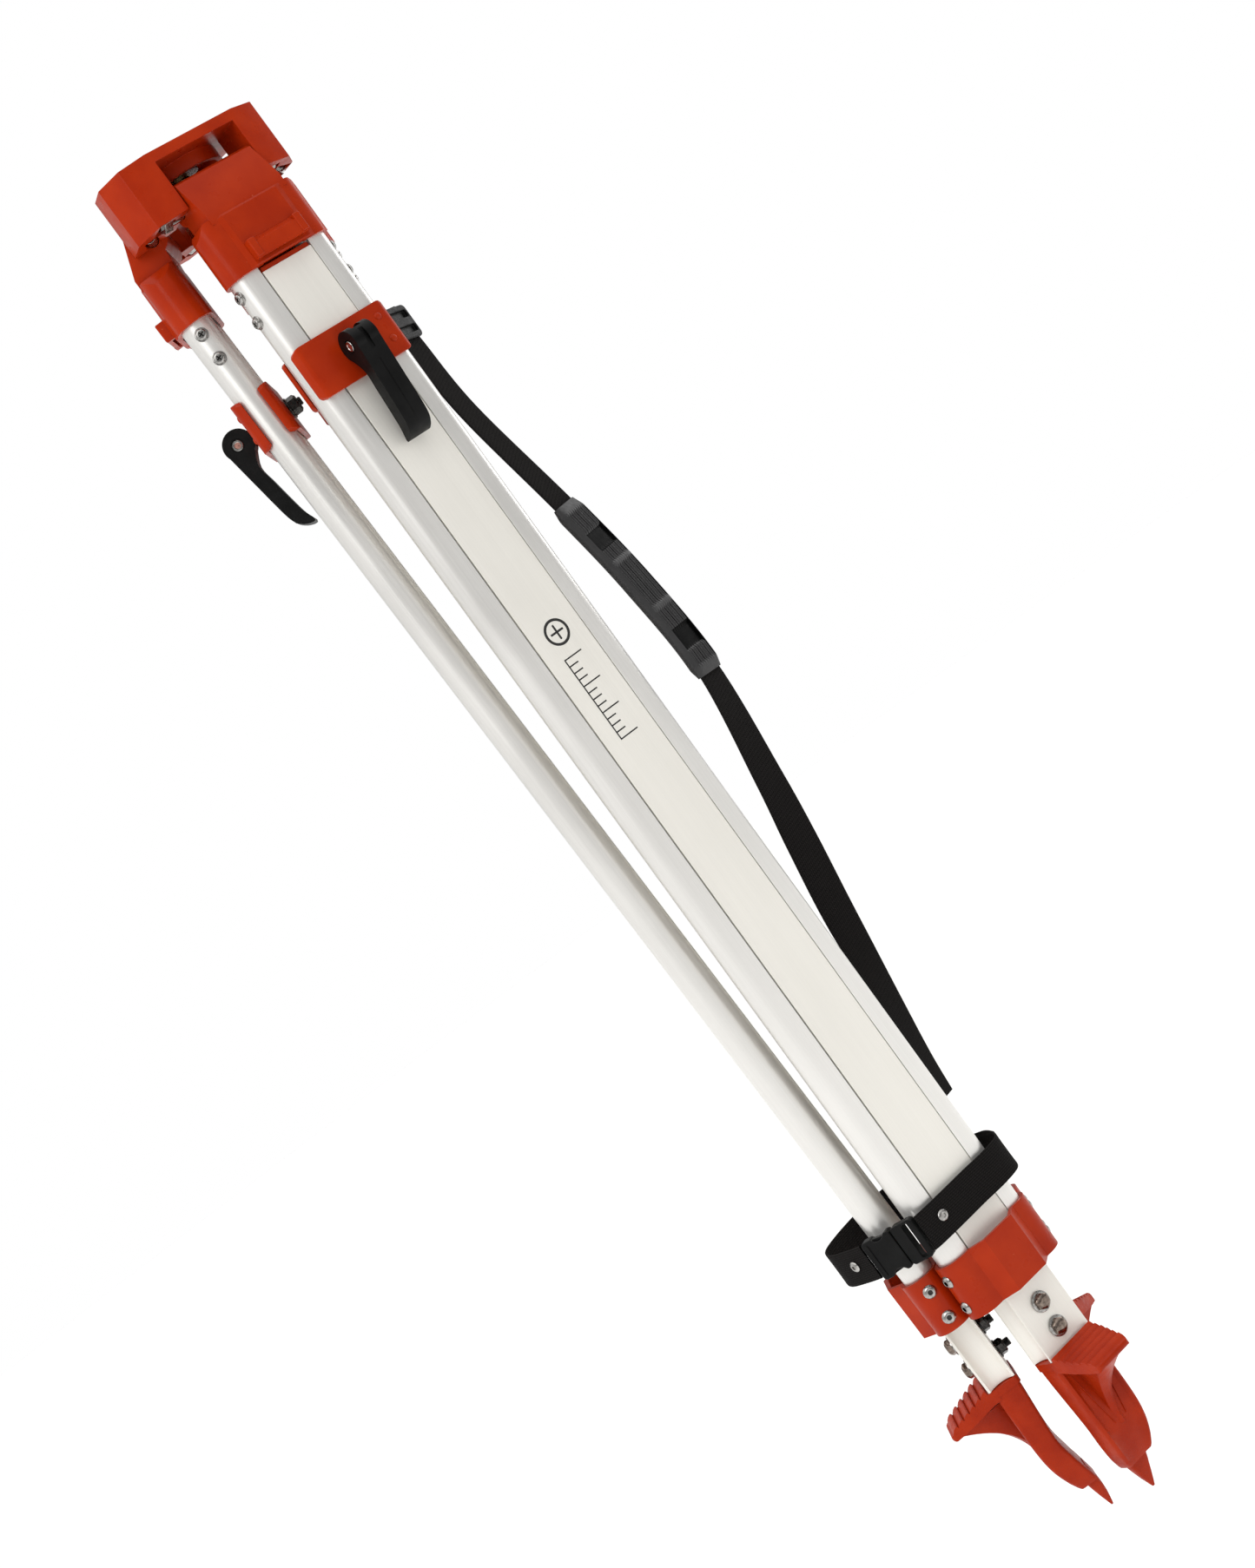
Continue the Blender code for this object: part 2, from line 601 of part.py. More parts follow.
def ribbon(name, points, normals, width, thickness):
    """Sweep a flat band along points."""
    rings = []
    for i, point in enumerate(points):
        ahead = (points[min(i + 1, len(points) - 1)] - points[max(i - 1, 0)]).normalized()
        rings.append(band_section(point, ahead, normals[i], width, thickness))
    return loft(name, rings)


# Route of the binding band round the folded legs, seen from above, from buckle to buckle
BAND_ROUTE = [(-41.2, -46.9), (-33.0, -48.2), (-12.0, -48.0), (8.0, -47.2), (28.0, -47.5), (44.0, -42.5),
              (53.5, -29.0), (58.5, -10.0), (53.0, 12.0), (39.0, 37.0), (22.0, 55.0), (0.0, 60.5),
              (-20.0, 58.5), (-41.0, 52.5), (-58.0, 43.0), (-66.5, 26.5), (-66.0, 8.0), (-63.2, -8.4)]


def binding_band():
    flat = smooth_route([(x, y, 0) for x, y in BAND_ROUTE], 3)
    z = HEIGHT - PIN_DROP + BAND_Z
    points = [Vector((p.x, p.y, z)) for p in flat]
    normals = []
    for i in range(len(points)):
        ahead = (points[min(i + 1, len(points) - 1)] - points[max(i - 1, 0)]).normalized()
        normals.append(ahead.cross(Vector((0, 0, 1))))
    return ribbon("band", points, normals, STRAP_WIDTH, STRAP_THICKNESS)


def buckle_half(low, high, thickness):
    """Half of the side-release buckle, from low to high along its length."""
    z = HEIGHT - PIN_DROP + BAND_Z
    outline = rounded_box_outline((high - low) / 2, 14.5, 3.0, 3, ((low + high) / 2, z))
    half = prism(outline, -thickness / 2, thickness / 2, "y")
    turn = Matrix.Rotation(math.radians(-60), 4, "Z")
    half.data.transform(Matrix.Translation((0, -0.0595, 0)))
    half.data.transform(turn)
    return half


# Shoulder strap: height on the leg, bow away from the leg's edge, and twist in degrees
SHOULDER_ROUTE = [(-98, 0.0, 0), (-112, 3.5, 0), (-140, 5.6, 0), (-196, 9.0, 0), (-284, 24.0, 2),
                  (-350, 33.0, 4), (-421, 37.0, 6), (-500, 28.0, 20), (-547, 21.0, 30),
                  (-600, 13.0, 30), (-657, 7.0, 14), (-705, 2.0, 4), (-735, 0.0, 0)]
PAD_SPAN = (-279.0, -424.0)
BOW = Vector((-0.857, -0.515, 0))


def shoulder_points():
    """Points along the strap with the direction its flat side faces."""
    route = smooth_route(SHOULDER_ROUTE, 4)
    points = []
    normals = []
    for z, bow, twist in route:
        points.append(Vector((-TUBE_CENTRE - TUBE_RADIUS - 1.3, 0, z)) + BOW * bow)
        normals.append(Matrix.Rotation(math.radians(-twist), 3, "Z") @ Vector((-1, 0, 0)))
    return points, normals


def shoulder_strap():
    points, normals = shoulder_points()
    return ribbon("shoulder", points, normals, STRAP_WIDTH, STRAP_THICKNESS)


def sleeve_on_strap(name, top, bottom, width, thickness):
    """Sleeve round a stretch of the shoulder strap, with a clear slot for it."""
    points, normals = shoulder_points()
    chosen = [i for i, point in enumerate(points) if bottom <= point.z <= top]
    rings = {"outer": [], "inner": []}
    for i in chosen:
        ahead = (points[i + 1] - points[i - 1]).normalized()
        rings["outer"].append(band_section(points[i], ahead, normals[i], width, thickness))
        rings["inner"].append(band_section(points[i], ahead, normals[i], STRAP_WIDTH + 1.4,
                                           STRAP_THICKNESS + 1.4))
    outer = loft(name, rings["outer"])
    ahead = (points[chosen[0]] - points[chosen[1]]).normalized() * 6
    first = [corner + ahead for corner in rings["inner"][0]]
    last = [corner - ahead for corner in rings["inner"][-1]]
    return cut(outer, loft("slot", [first] + rings["inner"] + [last]))


def strap_slider():
    """Three-bar slide under the top end of the shoulder strap's loop."""
    z = (-136, -116)
    x = -TUBE_CENTRE - TUBE_RADIUS - 1.3 + BOW.x * 5.0
    y = BOW.y * 5.0
    slider = box((x - 4.0, x + 1.6), (y - 15.0, y + 15.0), z)
    cut(slider, box((x - 1.5, x + 4), (y - 13.2, y + 13.2), (z[0] - 4, z[1] + 4)))
    return slider


# ---------------------------------------------------------------- assembly

def build_head(materials):
    place(head_plate(), "head_plate", "red_paint", materials)
    place(screw_arm_pin(), "screw_arm_pin", "steel", materials)
    arm_axis = empty("screw_arm_axis", (0, ARM_PIVOT_Y, 0))
    back = (0, -ARM_PIVOT_Y, 0)
    place(screw_arm(), "screw_arm", "dark_steel", materials, arm_axis, back)
    place(screw_bush(), "screw_bush", "brass", materials, arm_axis, back)
    place(centring_screw(), "centring_screw", "brass", materials, arm_axis, back)
    hook_axis = empty("plumb_hook_axis", (0, -ARM_PIVOT_Y, HOOK_EYE_Z), arm_axis)
    place(plumb_hook(), "plumb_hook", "steel", materials, hook_axis, (0, 0, -HOOK_EYE_Z))


def leg_pieces():
    """Each piece of one leg: name, maker, material slot and which frame it hangs on."""
    pieces = [
        ("top_bracket", top_bracket, "red_paint", "tubes"),
        ("rail_left", lambda: outer_rail(-1), "aluminium", "tubes"),
        ("rail_right", lambda: outer_rail(1), "aluminium", "tubes"),
        ("lower_bracket", lower_bracket, "red_paint", "tubes"),
        ("inner_rail", inner_rail, "aluminium", "tubes"),
        ("foot", foot, "red_paint", "tubes"),
        ("clamp_back", lambda: clamp_plate(1), "red_paint", "tubes"),
        ("clamp_front", lambda: clamp_plate(-1), "red_paint", "tubes"),
        ("clamp_bolt", clamp_bolt, "dark_steel", "tubes"),
        ("clamp_nut", clamp_nut, "dark_steel", "tubes"),
        ("lever_pin", lever_pin, "steel", "tubes"),
        ("clamp_lever", clamp_lever, "black_plastic", "lever"),
    ]
    for place_name in FOOT_BOLTS:
        pieces.append(("foot_bolt_" + place_name, foot_bolt, "dark_steel", place_name))
    return pieces


def build_legs(materials):
    frames = {}
    for leg, turn in LEG_TURNS.items():
        pin = outward(turn) * PIN_OFFSET + Vector((0, 0, HEIGHT - PIN_DROP))
        hinge = empty("leg_hinge_" + leg, pin, turn=(LEG_LEAN, 0, turn))
        level = empty("pin_frame_" + leg, pin, turn=(0, 0, turn))
        lever = empty("lever_axis_" + leg, (0, MID_OFFSET + CAM_PIN_Y, CLAMP_Z), hinge)
        frames[leg] = {"tubes": hinge, "lever": lever, "pin": level}
    offsets = {"tubes": (0, MID_OFFSET, 0), "lever": (0, -CAM_PIN_Y, -CLAMP_Z)}
    for place_name, z in FOOT_BOLTS.items():
        offsets[place_name] = (0, MID_OFFSET, z)
    for name, maker, slot, frame_name in leg_pieces():
        first = None
        for leg, leg_frames in frames.items():
            parent = leg_frames.get(frame_name, leg_frames["tubes"])
            if first is None:
                first = place(maker(), f"{name}_{leg}", slot, materials, parent, offsets[frame_name])
            else:
                copy_piece(first, f"{name}_{leg}", parent)
    first = place(hinge_pin(), "hinge_pin_a", "steel", materials, frames["a"]["pin"])
    for leg in ("b", "c"):
        copy_piece(first, "hinge_pin_" + leg, frames[leg]["pin"])
    return frames


def build_straps(materials, frames):
    place(binding_band(), "binding_band", "webbing", materials)
    place(buckle_half(-22.0, -1.5, 8.0), "buckle_socket", "black_plastic", materials)
    place(buckle_half(-1.2, 19.0, 8.0), "buckle_plug", "black_plastic", materials)
    leg_c = frames["c"]["tubes"]
    offset = (0, MID_OFFSET, 0)
    place(shoulder_strap(), "shoulder_strap", "webbing", materials, leg_c, offset)
    pad = sleeve_on_strap("pad", *PAD_SPAN, 31.0, 8.5)
    place(pad, "shoulder_pad", "rubber", materials, leg_c, offset)
    place(strap_slider(), "strap_slider", "black_plastic", materials, leg_c, offset)


def main():
    for obj in list(bpy.data.objects):
        bpy.data.objects.remove(obj)
    materials = make_materials()
    build_head(materials)
    frames = build_legs(materials)
    build_straps(materials, frames)
    loose = [obj for obj in bpy.data.objects if obj.parent is None]
    axis = empty("tripod_axis", (AXIS_X, AXIS_Y, 0))
    for obj in loose:
        obj.parent = axis


main()
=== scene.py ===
"""Looks of the folded surveying tripod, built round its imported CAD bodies.

Pieces are modelled in millimetres and turned into metres when their mesh is closed. A leg's
pieces are modelled once in the leg's own axes, x across, -y outward and z up, with z = 0 at its
hinge pin and y = 0 at the middle of its tubes, and then put on all three legs.
"""

import json
import math

import bmesh
import bpy
from mathutils import Matrix, Vector


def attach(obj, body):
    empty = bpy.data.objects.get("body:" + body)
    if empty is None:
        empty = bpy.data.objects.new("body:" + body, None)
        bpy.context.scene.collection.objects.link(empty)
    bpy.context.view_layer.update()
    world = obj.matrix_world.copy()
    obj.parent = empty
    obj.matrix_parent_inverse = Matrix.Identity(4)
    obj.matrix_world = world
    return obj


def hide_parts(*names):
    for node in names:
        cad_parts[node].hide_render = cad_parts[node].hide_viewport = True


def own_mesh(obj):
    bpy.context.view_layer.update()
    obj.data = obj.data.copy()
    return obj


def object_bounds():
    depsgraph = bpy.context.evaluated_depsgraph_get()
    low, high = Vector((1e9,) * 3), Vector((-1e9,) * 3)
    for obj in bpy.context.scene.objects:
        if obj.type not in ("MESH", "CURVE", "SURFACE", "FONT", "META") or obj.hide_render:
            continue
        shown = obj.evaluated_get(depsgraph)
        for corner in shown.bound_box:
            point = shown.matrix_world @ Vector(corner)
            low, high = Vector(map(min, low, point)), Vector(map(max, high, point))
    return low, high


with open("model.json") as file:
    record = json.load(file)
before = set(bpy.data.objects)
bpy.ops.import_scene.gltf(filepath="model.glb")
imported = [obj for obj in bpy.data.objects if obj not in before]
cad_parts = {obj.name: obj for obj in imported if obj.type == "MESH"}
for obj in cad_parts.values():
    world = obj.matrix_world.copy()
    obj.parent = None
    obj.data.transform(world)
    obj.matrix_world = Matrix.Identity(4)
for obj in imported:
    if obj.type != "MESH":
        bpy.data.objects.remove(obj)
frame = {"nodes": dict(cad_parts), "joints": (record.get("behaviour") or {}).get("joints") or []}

CAD_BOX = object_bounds()
MM = 0.001
JOINTS = {joint["name"]: joint for joint in frame["joints"]}
LEGS = ("a", "b", "c")
MID_OFFSET = -10.4                    # middle of the tubes from the hinge pin, outward


def leg_frame(leg):
    """Matrix from a leg's own axes to the model's."""
    swing = JOINTS[f"leg_{leg}_swing"]
    x = -Vector(swing["axis"]).normalized()
    z = -Vector(JOINTS[f"leg_{leg}_extend"]["axis"]).normalized()
    y = z.cross(x)
    origin = Vector(swing["pos_m"]) + y * MID_OFFSET * MM
    matrix = Matrix((x, y, z)).transposed().to_4x4()
    matrix.translation = origin
    return matrix


LEG_FRAMES = {leg: leg_frame(leg) for leg in LEGS}
PINS = [Vector(JOINTS[f"leg_{leg}_swing"]["pos_m"]) for leg in LEGS]
TRIPOD_AXIS = sum(PINS, Vector()) / 3
TRIPOD_AXIS.z = 0.0
PIN_HEIGHT = PINS[0].z / MM


def add_object(name, data):
    made = bpy.data.objects.new(name, data)
    bpy.context.scene.collection.objects.link(made)
    return made


class Nodes:
    """Helpers that add and link the nodes of one tree."""

    def __init__(self, tree):
        self.tree = tree

    def add(self, kind, inputs=(), **settings):
        node = self.tree.nodes.new(kind)
        for key, value in settings.items():
            setattr(node, key, value)
        for key, value in dict(inputs).items():
            if isinstance(value, bpy.types.NodeSocket):
                self.tree.links.new(value, node.inputs[key])
            else:
                node.inputs[key].default_value = value
        return node

    def span(self, value, low, high, to_low=0.0, to_high=1.0, **settings):
        values = {"Value": value, "From Min": low, "From Max": high, "To Min": to_low, "To Max": to_high}
        return self.add("ShaderNodeMapRange", values, **settings).outputs[0]

    def math(self, operation, first, second=0.0):
        return self.add("ShaderNodeMath", {0: first, 1: second}, operation=operation).outputs[0]


# ---------------------------------------------------------------- camera, light and floor

CAMERA_FROM_AXIS = Vector((-0.8388, -1.5063, 0.6325))
CAMERA_TURN = math.radians(29.24)
CAMERA_TILT = math.radians(-2.32)
CAMERA_ROLL = math.radians(-36.32)
CAMERA_LENS = 61.91


def look_matrix(place, ahead, roll=0.0):
    right = ahead.cross(Vector((0, 0, 1))).normalized()
    up = right.cross(ahead)
    x = right * math.cos(roll) + up * math.sin(roll)
    y = up * math.cos(roll) - right * math.sin(roll)
    matrix = Matrix((x, y, -ahead)).transposed().to_4x4()
    matrix.translation = place
    return matrix


def add_camera():
    data = bpy.data.cameras.new("camera")
    data.lens = CAMERA_LENS
    data.sensor_width = 36.0
    camera = add_object("camera", data)
    ahead = Vector((math.sin(CAMERA_TURN) * math.cos(CAMERA_TILT),
                    math.cos(CAMERA_TURN) * math.cos(CAMERA_TILT), math.sin(CAMERA_TILT)))
    camera.matrix_world = look_matrix(TRIPOD_AXIS + CAMERA_FROM_AXIS, ahead, CAMERA_ROLL)
    bpy.context.scene.camera = camera


def add_softbox(name, place, target, size, power):
    data = bpy.data.lights.new(name, "AREA")
    data.shape = "RECTANGLE"
    data.size, data.size_y = size
    data.energy = power
    light = add_object(name, data)
    place = Vector(place)
    light.matrix_world = look_matrix(place, (Vector(target) - place).normalized())


# Name, place, target, size in metres and watts of each soft box
SOFTBOXES = (("key", (-2.6, -1.6, 2.5), (0, 0, 0.55), (1.4, 2.2), 26),
             ("rim", (2.9, 0.4, 1.8), (0, 0, 0.60), (0.9, 2.4), 22))
CAMERA_SIDE = Vector((-0.49, -0.87, 0.0))
# The dome's brightness, as two limits of a direction and the share given at each
DOME_HEIGHT = (0.0, 0.95, 0.50, 1.36)
DOME_SIDE = (-0.7, 0.8, 1.24, 0.70)
DOME_ROOM = (0.55, 1.0, 1.0, 0.50)
DOME_COLOUR = (1.0, 0.995, 0.985, 1)


def add_dome():
    """White tent: bright overhead, darker at the horizon, on the right and behind the camera."""
    world = bpy.data.worlds.new("studio")
    world.use_nodes = True
    bpy.context.scene.world = world
    made = Nodes(world.node_tree)
    place = made.add("ShaderNodeTexCoord").outputs["Generated"]
    split = made.add("ShaderNodeSeparateXYZ", {0: place})
    behind = made.add("ShaderNodeVectorMath", {0: place, 1: CAMERA_SIDE}, operation="DOT_PRODUCT")
    strength = None
    for value, ramp in ((split.outputs["Z"], DOME_HEIGHT), (split.outputs["X"], DOME_SIDE),
                        (behind.outputs["Value"], DOME_ROOM)):
        share = made.span(value, *ramp, interpolation_type="SMOOTHERSTEP")
        strength = made.math("MULTIPLY", strength, share) if strength else share
    dome = made.tree.nodes["Background"]
    dome.inputs["Color"].default_value = DOME_COLOUR
    made.tree.links.new(strength, dome.inputs["Strength"])
    seen = made.add("ShaderNodeBackground", {"Color": (1, 1, 1, 1)})
    camera_ray = made.add("ShaderNodeLightPath").outputs["Is Camera Ray"]
    mix = made.add("ShaderNodeMixShader", {0: camera_ray, 1: dome.outputs[0], 2: seen.outputs[0]})
    made.tree.links.new(mix.outputs[0], made.tree.nodes["World Output"].inputs[0])


def add_studio():
    for softbox in SOFTBOXES:
        add_softbox(*softbox)
    add_dome()
    bpy.context.scene.view_settings.view_transform = "Standard"


FLOOR_DROP = 0.56                     # the legs extend this far below the folded tripod's points
FLOOR_RADIUS = 14.0


def add_floor():
    bm = bmesh.new()
    bmesh.ops.create_circle(bm, cap_ends=True, segments=96, radius=FLOOR_RADIUS)
    mesh = bpy.data.meshes.new("floor")
    bm.to_mesh(mesh)
    bm.free()
    floor = add_object("floor", mesh)
    floor.location = (TRIPOD_AXIS.x, TRIPOD_AXIS.y, CAD_BOX[0].z - FLOOR_DROP)
    made = Shader("pale_floor", (0.95, 0.95, 0.945), 0.95, Specular_IOR_Level=0.1)
    grain = made.noise(made.millimetres(), 0.02, 3)
    made.colour_between(grain, (0.94, 0.94, 0.935), (0.96, 0.96, 0.955))
    mesh.materials.append(made.material)


# ---------------------------------------------------------------- materials

class Shader(Nodes):
    """A Principled material with helpers for its procedural nodes."""

    def __init__(self, name, colour, roughness, metallic=0.0, **sockets):
        self.material = bpy.data.materials.new(name)
        self.material.use_nodes = True
        super().__init__(self.material.node_tree)
        self.bsdf = self.tree.nodes["Principled BSDF"]
        self.bsdf.inputs["Base Color"].default_value = (*colour, 1)
        self.bsdf.inputs["Roughness"].default_value = roughness
        self.bsdf.inputs["Metallic"].default_value = metallic
        for socket, value in sockets.items():
            self.bsdf.inputs[socket.replace("_", " ")].default_value = value

    def millimetres(self, stretch=(1, 1, 1), uv=False):
        """Coordinates on the piece in millimetres, stretched along each axis."""
        source = self.add("ShaderNodeTexCoord").outputs["UV" if uv else "Object"]
        size = 1.0 if uv else 1 / MM
        scale = [size * value for value in stretch]
        return self.add("ShaderNodeMapping", {"Vector": source, "Scale": scale}).outputs[0]

    def noise(self, vector, per_mm, detail=2, distortion=0.0):
        values = {"Vector": vector, "Scale": per_mm, "Detail": detail, "Distortion": distortion}
        return self.add("ShaderNodeTexNoise", values).outputs[0]

    def blend(self, share, first, second):
        node = self.add("ShaderNodeMix", {0: share}, data_type="RGBA")
        for index, colour in ((6, first), (7, second)):
            if isinstance(colour, bpy.types.NodeSocket):
                self.tree.links.new(colour, node.inputs[index])
            else:
                node.inputs[index].default_value = (*colour, 1)
        return node.outputs[2]

    def colour_between(self, share, first, second):
        colour = self.blend(share, first, second)
        self.tree.links.new(colour, self.bsdf.inputs["Base Color"])
        return colour

    def rough_between(self, share, low, high):
        self.tree.links.new(self.span(share, 0.3, 0.7, low, high), self.bsdf.inputs["Roughness"])

    def bump(self, *layers):
        """Layers of (height socket, depth in mm)."""
        normal = None
        for height, depth in layers:
            values = {"Height": height, "Strength": 1.0, "Distance": depth * MM}
            if normal is not None:
                values["Normal"] = normal
            normal = self.add("ShaderNodeBump", values).outputs[0]
        self.tree.links.new(normal, self.bsdf.inputs["Normal"])


def enamel():
    made = Shader("red_enamel", (0.40, 0.026, 0.003), 0.36, Specular_IOR_Level=0.10,
                  Coat_Weight=0.08, Coat_Roughness=0.10)
    place = made.millimetres()
    tone = made.span(made.noise(place, 0.035, 3), 0.35, 0.65)
    base = made.blend(tone, (0.36, 0.021, 0.002), (0.43, 0.030, 0.003))
    specks = made.add("ShaderNodeTexVoronoi", {"Vector": place, "Scale": 0.10}).outputs["Distance"]
    speck = made.span(specks, 0.020, 0.040, 0.75, 0.0)
    made.colour_between(speck, base, (0.66, 0.17, 0.09))
    peel = made.noise(place, 0.45, 2)
    grain = made.noise(place, 2.2, 2)
    made.rough_between(made.noise(place, 0.12, 3), 0.26, 0.40)
    made.bump((peel, 0.07), (grain, 0.02))
    return made.material


def cast_enamel():
    """The same paint over the pebbled, unmachined face of a casting."""
    made = Shader("red_enamel_cast", (0.37, 0.024, 0.003), 0.44, Specular_IOR_Level=0.10,
                  Coat_Weight=0.06, Coat_Roughness=0.18)
    place = made.millimetres()
    tone = made.span(made.noise(place, 0.05, 3), 0.35, 0.65)
    made.colour_between(tone, (0.33, 0.019, 0.002), (0.40, 0.027, 0.003))
    pebble = made.add("ShaderNodeTexVoronoi", {"Vector": place, "Scale": 0.95},
                      feature="SMOOTH_F1").outputs["Distance"]
    made.rough_between(made.noise(place, 0.3, 3), 0.33, 0.50)
    made.bump((pebble, 0.12), (made.noise(place, 1.6, 3), 0.05))
    return made.material


DIE_LINE_DEPTH = 0.004


def drawn_aluminium(name, light, dark, roughness, metallic):
    """Satin anodised extrusion, with fine die lines along it."""
    made = Shader(name, light, roughness, metallic)
    lines = made.noise(made.millimetres((1, 1, 0.006)), 1.6, 3)
    cloud = made.noise(made.millimetres((1, 1, 0.25)), 0.03, 3)
    share = made.math("ADD", made.math("MULTIPLY", lines, 0.45), made.math("MULTIPLY", cloud, 0.55))
    made.colour_between(made.span(share, 0.38, 0.62), dark, light)
    rough = made.span(share, 0.38, 0.62, roughness - 0.05, roughness + 0.06)
    made.tree.links.new(rough, made.bsdf.inputs["Roughness"])
    scuff = made.noise(made.millimetres((1, 1, 0.03)), 0.5, 2)
    made.bump((lines, DIE_LINE_DEPTH), (scuff, DIE_LINE_DEPTH * 0.5))
    return made.material


def plated(name, light, dark, roughness):
    made = Shader(name, light, roughness, 1.0)
    place = made.millimetres()
    made.colour_between(made.span(made.noise(place, 0.5, 4), 0.35, 0.7), dark, light)
    made.rough_between(made.noise(place, 1.1, 3), roughness * 0.7, roughness * 1.5)
    made.bump((made.noise(place, 1.8, 3), 0.035))
    return made.material


def nylon(name="black_nylon", specular=0.14):
    made = Shader(name, (0.003, 0.003, 0.003), 0.40, Specular_IOR_Level=specular)
    place = made.millimetres()
    tone = made.noise(place, 0.08, 3)
    made.colour_between(made.span(tone, 0.35, 0.65), (0.002, 0.002, 0.002), (0.005, 0.005, 0.005))
    grain = made.add("ShaderNodeTexVoronoi", {"Vector": place, "Scale": 2.2}).outputs["Distance"]
    made.rough_between(made.noise(place, 0.25, 3), 0.34, 0.48)
    made.bump((grain, 0.03), (made.noise(place, 0.4, 2), 0.04))
    return made.material


def webbing():
    """Woven tape: rows of slanting yarn floats. U runs across it and V along it, in mm."""
    made = Shader("black_webbing", (0.004, 0.0035, 0.0035), 0.85, Specular_IOR_Level=0.07)
    split = made.add("ShaderNodeSeparateXYZ", {0: made.millimetres(uv=True)})
    slanted = made.math("ADD", split.outputs[1], made.math("MULTIPLY", split.outputs[0], 0.55))
    cell = made.add("ShaderNodeCombineXYZ", {0: slanted, 1: split.outputs[0]}).outputs[0]
    rows = {"Vector": cell, "Scale": 1.0, "Mortar Size": 0.22, "Mortar Smooth": 1.0,
            "Brick Width": 2.6, "Row Height": 1.45}
    shaded_gap = made.add("ShaderNodeTexBrick", rows, offset=0.5).outputs["Fac"]
    fibre = made.noise(made.millimetres((1, 0.25, 1), uv=True), 3.0, 3)
    # The gaps between the floats are painted near-black: painted shade between the yarns.
    made.colour_between(shaded_gap, (0.014, 0.0125, 0.012), (0.0006, 0.0006, 0.0006))
    made.bump((made.math("SUBTRACT", 1.0, shaded_gap), 0.50), (fibre, 0.08))
    return made.material


def rubber():
    made = Shader("black_rubber", (0.032, 0.032, 0.033), 0.46, Specular_IOR_Level=0.30)
    place = made.millimetres()
    made.colour_between(made.noise(place, 0.09, 3), (0.026, 0.026, 0.027), (0.040, 0.039, 0.040))
    made.rough_between(made.noise(place, 0.4, 3), 0.40, 0.56)
    made.bump((made.noise(place, 1.5, 3), 0.05))
    return made.material


def printed():
    made = Shader("black_print", (0.012, 0.011, 0.010), 0.5)
    place = made.millimetres()
    made.colour_between(made.noise(place, 0.6, 4), (0.008, 0.008, 0.008), (0.022, 0.020, 0.018))
    made.bump((made.noise(place, 2.5, 2), 0.01))
    return made.material


def make_materials():
    """Every material, by the short name that pieces use."""
    return {
        "red": enamel(),
        "cast": cast_enamel(),
        "tube": drawn_aluminium("satin_tube", (0.89, 0.875, 0.845), (0.83, 0.815, 0.785), 0.34, 0.70),
        "panel": drawn_aluminium("satin_panel", (0.92, 0.895, 0.835), (0.88, 0.855, 0.795), 0.48, 0.35),
        "steel": plated("bright_steel", (0.52, 0.51, 0.49), (0.26, 0.25, 0.24), 0.20),
        # Blackened steel, also used as painted shade in the pan screws' cross recess and on the screw arm and
        # its pin.
        "dark": plated("blackened_steel_and_painted_shade", (0.07, 0.066, 0.062), (0.028, 0.027, 0.026), 0.24),
        "bronze": plated("bronzed_steel", (0.30, 0.24, 0.20), (0.12, 0.095, 0.08), 0.20),
        "copper": plated("pin_end", (0.62, 0.33, 0.27), (0.45, 0.22, 0.18), 0.30),
        "brass": plated("machined_brass", (0.62, 0.47, 0.25), (0.48, 0.35, 0.17), 0.24),
        "nylon": nylon(),
        # Near-black for the pad's window floors: painted shade in the windows.
        "recess": nylon("pad_window_painted_shade", 0.03),
        "webbing": webbing(),
        "rubber": rubber(),
        "print": printed(),
    }


MATERIALS = make_materials()

# Slot of each material's pieces; the printed mark has none
SLOTS = {"red": "red_paint", "cast": "red_paint", "tube": "aluminium", "panel": "aluminium",
         "steel": "steel", "dark": "dark_steel", "bronze": "dark_steel", "brass": "brass",
         "nylon": "black_plastic", "webbing": "webbing", "rubber": "rubber"}
SLOT_OF = {MATERIALS[key].name: slot for key, slot in SLOTS.items()}


# ---------------------------------------------------------------- mesh tools

SHARP_ANGLE = 35.0


def close_mesh(bm, name, material, smooth=SHARP_ANGLE):
    """Turn a bmesh in millimetres into an object in metres."""
    bmesh.ops.recalc_face_normals(bm, faces=bm.faces)
    bmesh.ops.scale(bm, vec=(MM, MM, MM), verts=bm.verts)
    mesh = bpy.data.meshes.new(name)
    bm.to_mesh(mesh)
    bm.free()
    mesh.materials.append(MATERIALS[material])
    mesh.shade_smooth()
    mesh.set_sharp_from_angle(angle=math.radians(smooth))
    return add_object(name, mesh)


def solid(name, material, parts, smooth=SHARP_ANGLE):
    """Piece whose mesh is added up from parts, each a function and its values."""
    bm = bmesh.new()
    for add, *values in parts:
        add(bm, *values)
    return close_mesh(bm, name, material, smooth)


def soften(piece, width, segments=3, angle=32.0):
    """Round a piece's edges by this width in millimetres."""
    modifier = piece.modifiers.new("edges", "BEVEL")
    modifier.width = width * MM
    modifier.segments = segments
    modifier.limit_method = "ANGLE"
    modifier.angle_limit = math.radians(angle)
    modifier.miter_outer = "MITER_ARC"
    modifier.harden_normals = True
    return piece


def add_rings(bm, rings, closed=False, caps=True):
    loops = [[bm.verts.new(point) for point in ring] for ring in rings]
    pairs = list(zip(loops, loops[1:]))
    if closed:
        pairs.append((loops[-1], loops[0]))
    for low, high in pairs:
        for i in range(len(low)):
            j = (i + 1) % len(low)
            bm.faces.new((low[i], low[j], high[j], high[i]))
    if caps and not closed:
        bm.faces.new(reversed(loops[0]))
        bm.faces.new(loops[-1])


AXIS_POINT = {
    "x": lambda a, b, t: (t, a, b),
    "y": lambda a, b, t: (a, t, b),
    "z": lambda a, b, t: (a, b, t),
}


